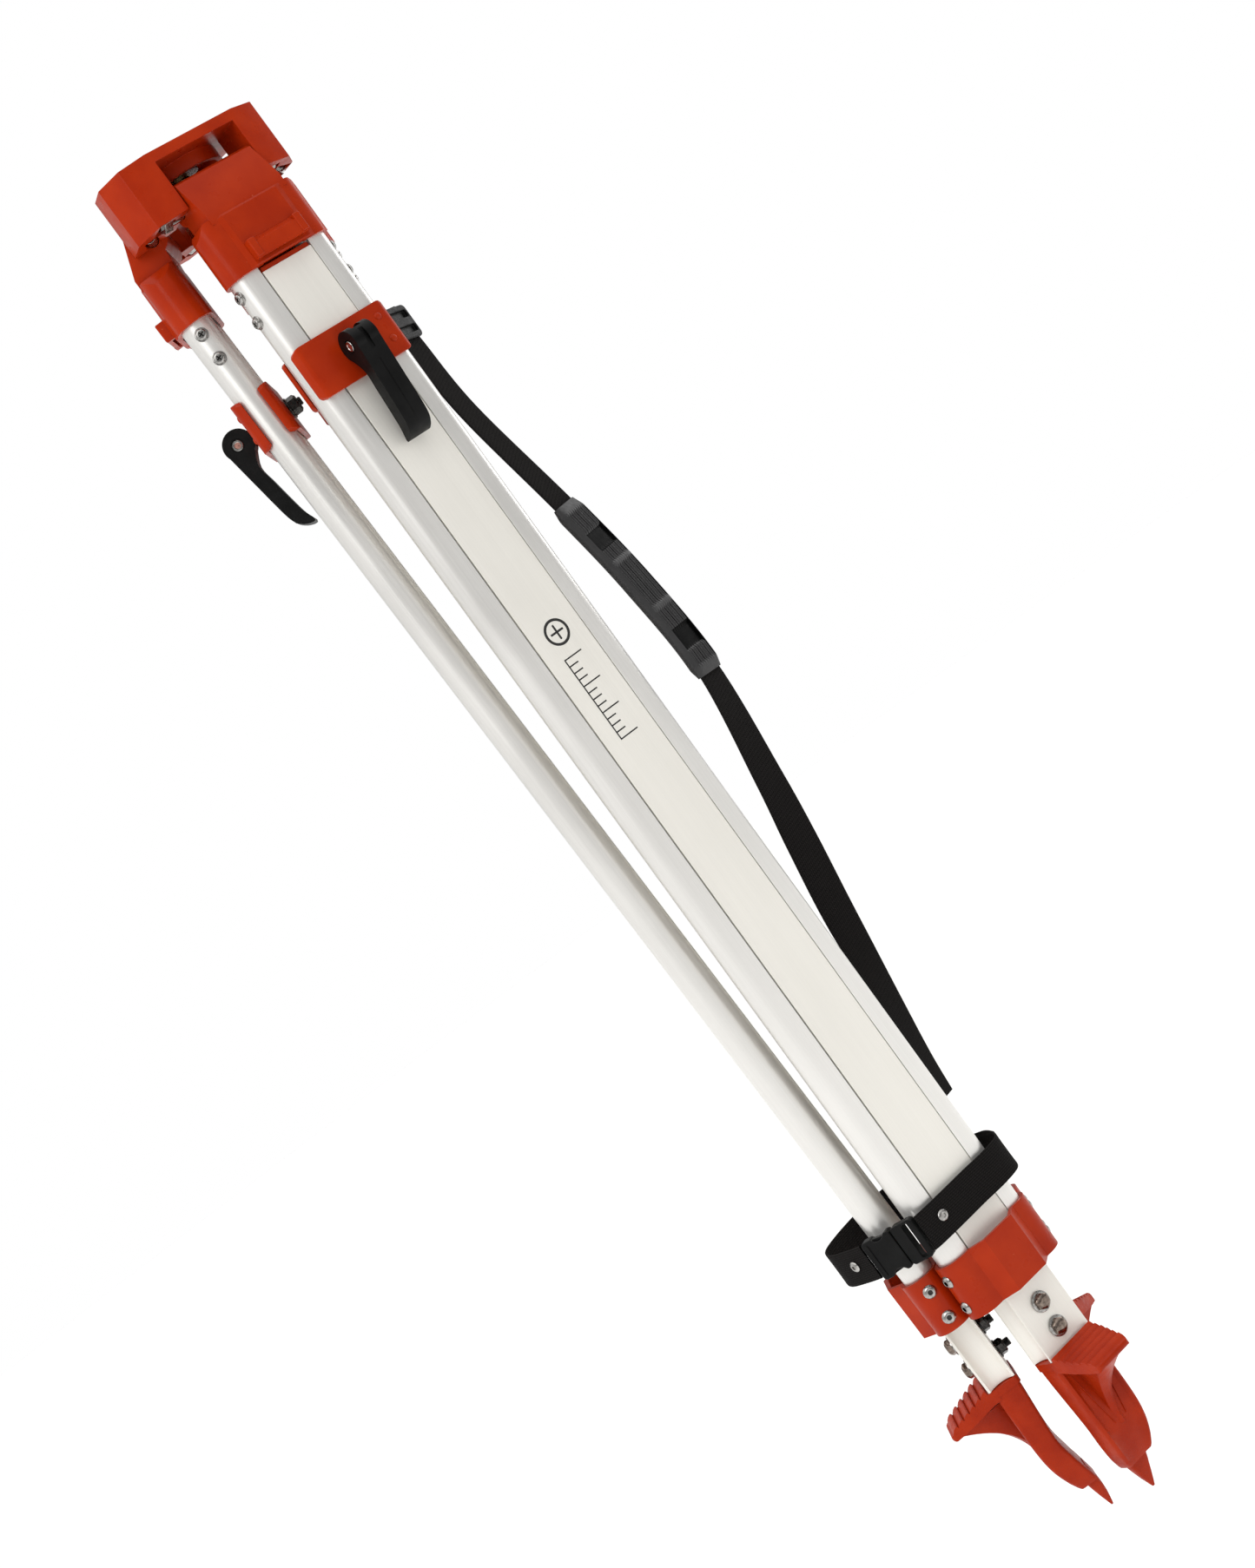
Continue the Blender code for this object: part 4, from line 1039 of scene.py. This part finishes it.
def tread_mesh():
    """Foot rest with six rounded ribs, narrowing outward, and a turned-down lip."""
    pitch = (TREAD_REACH - 2.4 + TREAD_START) / TREAD_RIBS
    top = [(-6.0, FOOT_BASE), (TREAD_START, FOOT_BASE)]
    for i in range(TREAD_RIBS):
        for share, rise in ((0.10, 1.6), (0.25, 2.3), (0.60, 1.9), (0.88, 0.9), (1.0, 0.1)):
            along = i + share
            top.append((TREAD_START - pitch * along, FOOT_BASE + 1.4 - 10.2 * along / TREAD_RIBS + rise))
    lip = arc((-TREAD_REACH + 2.6, FOOT_BASE - 11.2), 2.6, 140, 290, 6)
    side = top + lip + [(-38.0, FOOT_BASE - 13.2), (-12.0, FOOT_BASE - 8.2), (-6.0, FOOT_BASE - 8.0)]
    tread = solid("tread", "cast", [(add_prism, side, -TREAD_HALF, TREAD_HALF, "x")], 25)
    corner_y = -TREAD_REACH + 3.5
    plan = [(-19.4, 0), (-19.2, -12.0), (-18.2, -24.0), (-15.4, -40.0)]
    plan += arc((-11.6, corner_y), 3.6, 190, 270, 4) + arc((11.6, corner_y), 3.6, 270, 350, 4)
    plan += [(15.4, -40.0), (18.2, -24.0), (19.2, -12.0), (19.4, 0)]
    tool = solid("plan", "cast", [(add_prism, plan, FOOT_BASE - 40, FOOT_BASE + 12)])
    return carve(tread, tool, "INTERSECT")


def gusset_mesh():
    """Web under the tread that flares into a concave fan with a crease down its middle."""
    rings = []
    for i in range(GUSSET_STEPS + 1):
        t = i / GUSSET_STEPS
        front = -8.5 - 33.5 * (1 - t) ** 2.3
        flare = 3.0 + 11.0 * (1 - t) ** 3.2
        z = FOOT_BASE - 9.0 - 52.0 * t - 4.5 * (1 - t)
        rings.append([(-flare, front + 1.6, z), (-flare * 0.45, front + 0.3, z), (0, front - 0.5, z),
                      (flare * 0.45, front + 0.3, z), (flare, front + 1.6, z),
                      (2.6 + flare * 0.35, -4.0, z + 2.0), (-2.6 - flare * 0.35, -4.0, z + 2.0)])
    return solid("gusset", "cast", [(add_rings, rings)], 30)


def line_mesh(side):
    rings = [[(side * x - wide, LINE_Y + 2.0, z), (side * x - wide * 0.5, LINE_Y - 0.2, z),
              (side * x + wide * 0.5, LINE_Y - 0.2, z), (side * x + wide, LINE_Y + 2.0, z)]
             for x, z, wide in BLADE_LINE]
    return solid("line", "cast", [(add_rings, rings)])


def build_foot():
    foot = lofted(BLADE_RINGS)
    flange = (add_prism, rounded_outline(19.3, 11.3, 3.0, 5), FOOT_BASE - 5.6, FOOT_BASE - 0.2)
    carve(foot, lofted(SPIKE_RINGS), "UNION")
    carve(foot, solid("flange", "cast", [flange]), "UNION")
    carve(foot, tread_mesh(), "UNION")
    carve(foot, gusset_mesh(), "UNION")
    for side in (-1, 1):
        carve(foot, line_mesh(side), "UNION")
    on_legs(soften(foot, 0.35, 2, 38), "foot_finish", "inner_leg", ("foot",))


# ---------------------------------------------------------------- webbing

STRAP_WIDTH = 25.0
STRAP_THICKNESS = 1.5
BAND_HEIGHT = PIN_HEIGHT - 782.0
BAND_SPANS = 10

# Route of the binding band round the folded legs, from the tripod's axis, in three stretches
BAND_FRONT = [(-41.2, -46.9), (-33.0, -48.2), (-12.0, -48.0), (8.0, -47.2), (28.0, -47.5), (44.0, -42.5),
              (53.5, -29.0)]
BAND_RIGHT = [(53.5, -29.0), (58.5, -10.0), (53.0, 12.0), (39.0, 37.0), (22.0, 55.0), (0.0, 60.5)]
BAND_LEFT = [(0.0, 60.5), (-20.0, 58.5), (-41.0, 52.5), (-58.0, 43.0), (-66.5, 26.5), (-66.0, 8.0),
             (-63.2, -8.4)]
# Half of the tape's section, in shares of its width and thickness
TAPE_EDGE = [(-0.5, -0.18), (-0.485, -0.42), (-0.45, -0.5), (-0.2, -0.42), (0.2, -0.42), (0.45, -0.5),
             (0.485, -0.42), (0.5, -0.18)]
# Word, place round the axis, direction and leg that frees it, of each of the band's rivets
BAND_RIVETS = (("front", (-24.0, -49.1), (-0.02, -1.0), None), ("side", (-66.9, 6.0), (-1.0, -0.10), "b"))


def tape_axes(points, normals):
    """Directions across and out of a tape at each point of its route."""
    axes = []
    for ahead, normal in zip(headings(points), normals):
        ahead = ahead.normalized()
        face = (normal - ahead * normal.dot(ahead)).normalized()
        axes.append((ahead.cross(face), face))
    return axes


def webbing_piece(name, points, normals):
    """Flat tape with rounded selvedges, with U across and V along it in mm, and its length."""
    bm = bmesh.new()
    uv = bm.loops.layers.uv.verify()
    section = TAPE_EDGE + [(-a, -b) for a, b in TAPE_EDGE]
    rings = [[bm.verts.new(point + side * a * STRAP_WIDTH + face * b * STRAP_THICKNESS) for a, b in section]
             for point, (side, face) in zip(points, tape_axes(points, normals))]
    travel = [0.0]
    for here, there in zip(points, points[1:]):
        travel.append(travel[-1] + (there - here).length)
    size = len(section)
    for i in range(len(points) - 1):
        for k in range(size):
            j = (k + 1) % size
            face = bm.faces.new((rings[i][k], rings[i][j], rings[i + 1][j], rings[i + 1][k]))
            here, there = section[k][0] * STRAP_WIDTH, section[j][0] * STRAP_WIDTH
            spots = ((here, travel[i]), (there, travel[i]), (there, travel[i + 1]), (here, travel[i + 1]))
            for loop, spot in zip(face.loops, spots):
                loop[uv].uv = spot
    for ring in (rings[0], rings[-1]):
        bm.faces.new(ring)
    return close_mesh(bm, name, "webbing", 60), travel[-1]


def band_stretch(name, route):
    """One stretch of the band, riding leg A and resting on a leg."""
    flat = smooth_route([(x, y, 0) for x, y in route], BAND_SPANS)
    points = [axis_point(BAND_HEIGHT) + point for point in flat]
    normals = [ahead.cross(Vector((0, 0, 1))).normalized() for ahead in headings(points)]
    piece, length = webbing_piece(name, points, normals)
    on_body(piece, name, "leg_a", ("binding_band",))
    return piece


def leg_outward(leg):
    ahead = -(LEG_FRAMES[leg].to_3x3() @ Vector((0, 1, 0)))
    ahead.z = 0.0
    return ahead.normalized()


def free_stretch(piece, leg):
    """Gives a piece of the band a mesh of its own; its leg's outward heading is worked out but not used."""
    out = leg_outward(leg)
    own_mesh(piece)


def build_band():
    band_stretch("band_front", BAND_FRONT)
    for leg, route in (("b", BAND_LEFT), ("c", BAND_RIGHT)):
        free_stretch(band_stretch(f"band_round_{leg}", route), leg)


BUCKLE_REACH = 59.5
BUCKLE_FRAME = (Matrix.Translation(axis_point(BAND_HEIGHT)) @ Matrix.Rotation(math.radians(-60), 4, "Z")
                @ Matrix.Translation((0, -BUCKLE_REACH, 0)))
CUT_DEPTH = 9


def buckle_piece(name, node, outline, low, high, edge, cuts=()):
    """Plate of the buckle: an outline of (along, up) pairs between two depths, with cut-outs."""
    piece = solid(name, "nylon", [(add_prism, outline, low, high, "y")])
    for cut in cuts:
        carve(piece, solid("tool", "nylon", [(add_prism, cut, -CUT_DEPTH, CUT_DEPTH, "y")]))
    soften(piece, edge, 3)
    matrix = BUCKLE_FRAME.copy()
    matrix.translation *= MM
    piece.matrix_world = matrix
    on_body(piece, name, "leg_a", (node,))


def build_buckle():
    notches = [arc((-8.0, side * 17.2), 6.4, 0, 360, 28)[:-1] for side in (-1, 1)]
    slot = rounded_outline(2.0, 12.2, 0.8, 3, (13.4, 0))
    buckle_piece("buckle_socket_finish", "buckle_socket", rounded_outline(11.6, 14.0, 2.6, 5, (-9.6, 0)),
                 -4.0, 3.6, 1.0, notches)
    buckle_piece("buckle_plug_finish", "buckle_plug", rounded_outline(8.3, 14.0, 2.6, 5, (10.9, 0)),
                 -3.6, 3.2, 0.9, [slot])
    for side, word in ((-1, "lower"), (1, "upper")):
        tongue = [(-13.5, side * 9.4), (-13.0, side * 13.2), (-8.0, side * 12.6), (1.5, side * 11.4),
                  (1.5, side * 8.2)]
        buckle_piece(f"buckle_prong_{word}", "buckle_plug", tongue, -2.0, 1.8, 0.6)
    ridge = rounded_outline(0.8, 11.5, 0.6, 3, (-17.4, 0))
    buckle_piece("buckle_ridge", "buckle_socket", ridge, -4.6, -3.4, 0.3)
    rivet = dome_rivet_mesh(3.9, 1.5, "steel")
    for word, spot, (x, y), leg in BAND_RIVETS:
        place = axis_point(BAND_HEIGHT + 1.0) + Vector((*spot, 0))
        piece = stud(rivet, f"band_rivet_{word}", "leg_a", place, (x, y, 0), Matrix.Identity(4))
        if leg:
            free_stretch(piece, leg)
    bpy.data.objects.remove(rivet)


# Shoulder strap: height on the leg, bow away from the leg's edge, and twist in degrees
SHOULDER_ROUTE = [(-113, 3.7, 0), (-140, 5.6, 0), (-196, 9.0, 0), (-284, 24.0, 2),
                  (-350, 33.0, 4), (-421, 37.0, 6), (-500, 28.0, 20), (-547, 21.0, 30),
                  (-600, 13.0, 30), (-657, 7.0, 14), (-705, 2.0, 4), (-735, 0.0, 0)]
STRAP_X = -TUBE_CENTRE - TUBE_RADIUS - 1.3
BOW = Vector((-0.857, -0.515, 0))


def shoulder_points(per_span):
    points = []
    normals = []
    for z, bow, twist in smooth_route(SHOULDER_ROUTE, per_span):
        points.append(Vector((STRAP_X, 0, z)) + BOW * bow)
        normals.append(Matrix.Rotation(math.radians(-twist), 3, "Z") @ Vector((-1, 0, 0)))
    return points, normals


def on_leg_c(piece, name, node):
    """Put a piece of the carrying strap on leg C in place of one CAD node."""
    on_legs(piece, name, "leg", (), ("c",))
    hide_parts(node)
    return piece


def build_shoulder_strap():
    strap, length = webbing_piece("shoulder", *shoulder_points(10))
    on_leg_c(strap, "shoulder_webbing", "shoulder_strap")
    build_pad()
    build_slider()


PAD_TOP = -279.0
PAD_BOTTOM = -424.0
PAD_HALF_WIDTH = 15.5
PAD_HALF_THICKNESS = 4.25
PAD_COLUMNS = 72
PAD_RIBS = 9
PAD_WINDOWS = ((0.16, 0.27), (0.76, 0.87))
PAD_BARS = (0.36, 0.64)
PAD_RIM = 0.40
WINDOW_DEPTH = 1.9
PAINTED_SHADE_BELOW = -1.0                   # relief that takes the darker material


def pad_relief(along, across):
    """Height of the pad's pattern above its base, in mm, for shares along and across it."""
    if along < 0.05 or along > 0.95 or abs(across) > PAD_RIM:
        return 0.0
    if any(low < along < high for low, high in PAD_WINDOWS):
        return -WINDOW_DEPTH
    if any(abs(along - bar) < 0.018 for bar in PAD_BARS):
        return -0.1
    return -0.75 + 0.35 * math.cos(2 * math.pi * PAD_RIBS * across / (2 * PAD_RIM))


def build_pad():
    """Moulded sleeve on the strap: smooth rims, lengthwise ribs and two blind windows."""
    points, normals = shoulder_points(44)
    axes = tape_axes(points, normals)
    chosen = [i for i, point in enumerate(points) if PAD_BOTTOM <= point.z <= PAD_TOP]
    spans = len(chosen) - 1
    rings = []
    for number, i in enumerate(chosen):
        along = number / spans
        side, face = axes[i]
        ease = min(1.0, 0.55 + 9 * min(along, 1 - along))
        wide = PAD_HALF_WIDTH * min(1.0, 0.90 + 2.5 * min(along, 1 - along))
        ring = []
        for sign in (1, -1):
            for k in range(PAD_COLUMNS + 1):
                across = sign * (k / PAD_COLUMNS - 0.5)
                fall = max(0.0, 1 - (abs(across) * 2) ** 6) ** 0.5
                height = PAD_HALF_THICKNESS * ease * (0.12 + 0.88 * fall) + pad_relief(along, across)
                height = max(height, 0.9)
                ring.append(points[i] + side * across * 2 * wide + face * sign * height)
        rings.append(ring)
    pad = solid("pad", "rubber", [(add_rings, rings)], 50)
    # Second slot: the window floors take the near-black, painted shade in the windows.
    pad.data.materials.append(MATERIALS["recess"])
    around = 2 * (PAD_COLUMNS + 1)
    for number, polygon in enumerate(pad.data.polygons[:around * spans]):
        along = (number // around + 0.5) / spans
        across = (number % around % (PAD_COLUMNS + 1) + 0.5) / PAD_COLUMNS - 0.5
        if pad_relief(along, across) < PAINTED_SHADE_BELOW:
            polygon.material_index = 1
    on_leg_c(pad, "shoulder_pad_finish", "shoulder_pad")


SLIDER_TOP = -114.0
SLIDER_BOTTOM = -138.0
SLIDER_X = STRAP_X + BOW.x * 5.0
SLIDER_Y = BOW.y * 5.0
SLIDER_WINDOWS = ((SLIDER_BOTTOM + 4.2, SLIDER_BOTTOM + 9.0), (SLIDER_TOP - 9.0, SLIDER_TOP - 4.2))


def slider_outline(half_width, low, high, radius, steps):
    return rounded_outline(half_width, (high - low) / 2, radius, steps, (SLIDER_Y, (low + high) / 2))


def build_slider():
    """Three-bar slide at the strap's upper end, with two blind windows."""
    outline = slider_outline(15.0, SLIDER_BOTTOM, SLIDER_TOP, 3.4, 6)
    slider = solid("slider", "nylon", [(add_prism, outline, SLIDER_X - 3.6, SLIDER_X + 0.2, "x")])
    for low, high in SLIDER_WINDOWS:
        window = (add_prism, slider_outline(12.4, low, high, 1.2, 4), SLIDER_X - 9, SLIDER_X - 1.5, "x")
        carve(slider, solid("window", "nylon", [window]))
    on_leg_c(soften(slider, 0.9, 3), "strap_slider_finish", "strap_slider")


# ---------------------------------------------------------------- panel mark

MARK_TOP = -345.0
MARK_RAISE = 0.06
SCALE_TOP = MARK_TOP - 17.0
SCALE_X = INNER_SHIFT - 7.0
SCALE_LINES = 13
SCALE_STEP = 5.0
SCALE_STROKE = 0.9


def build_mark():
    """Plain target ring with a ruled scale printed on leg A's sliding leg."""
    front = -PANEL_FRONT - MARK_RAISE
    back = -PANEL_FRONT + 0.05
    centre = (INNER_SHIFT, MARK_TOP)
    outer, inner = (arc(centre, radius, 0, 360, 56)[:-1] for radius in (9.0, 7.2))
    rings = [[(a, y, b) for a, b in outline]
             for outline, y in ((outer, front), (outer, back), (inner, back), (inner, front))]
    parts = [(add_rings, rings, True)]
    strokes = [rounded_outline(a, b, 0.3, 2, centre) for a, b in ((0.7, 5.2), (5.2, 0.7))]
    for step in range(SCALE_LINES):
        reach = 14.0 if step % 4 == 0 else 7.2
        z = SCALE_TOP - step * SCALE_STEP
        strokes.append([(SCALE_X, z), (SCALE_X + reach, z), (SCALE_X + reach, z - SCALE_STROKE),
                        (SCALE_X, z - SCALE_STROKE)])
    left = SCALE_X - SCALE_STROKE
    foot = SCALE_TOP - (SCALE_LINES - 1) * SCALE_STEP - SCALE_STROKE
    strokes.append([(left, SCALE_TOP), (SCALE_X, SCALE_TOP), (SCALE_X, foot), (left, foot)])
    parts += [(add_prism, outline, front, back, "y") for outline in strokes]
    on_legs(solid("mark", "print", parts), "panel_mark", "inner_leg", (), ("a",))


def main():
    add_camera()
    add_studio()
    add_floor()
    for build in (build_head, build_tubes, build_fasteners, build_brackets, build_clamp, build_foot,
                  build_band, build_buckle, build_shoulder_strap, build_mark):
        build()


main()
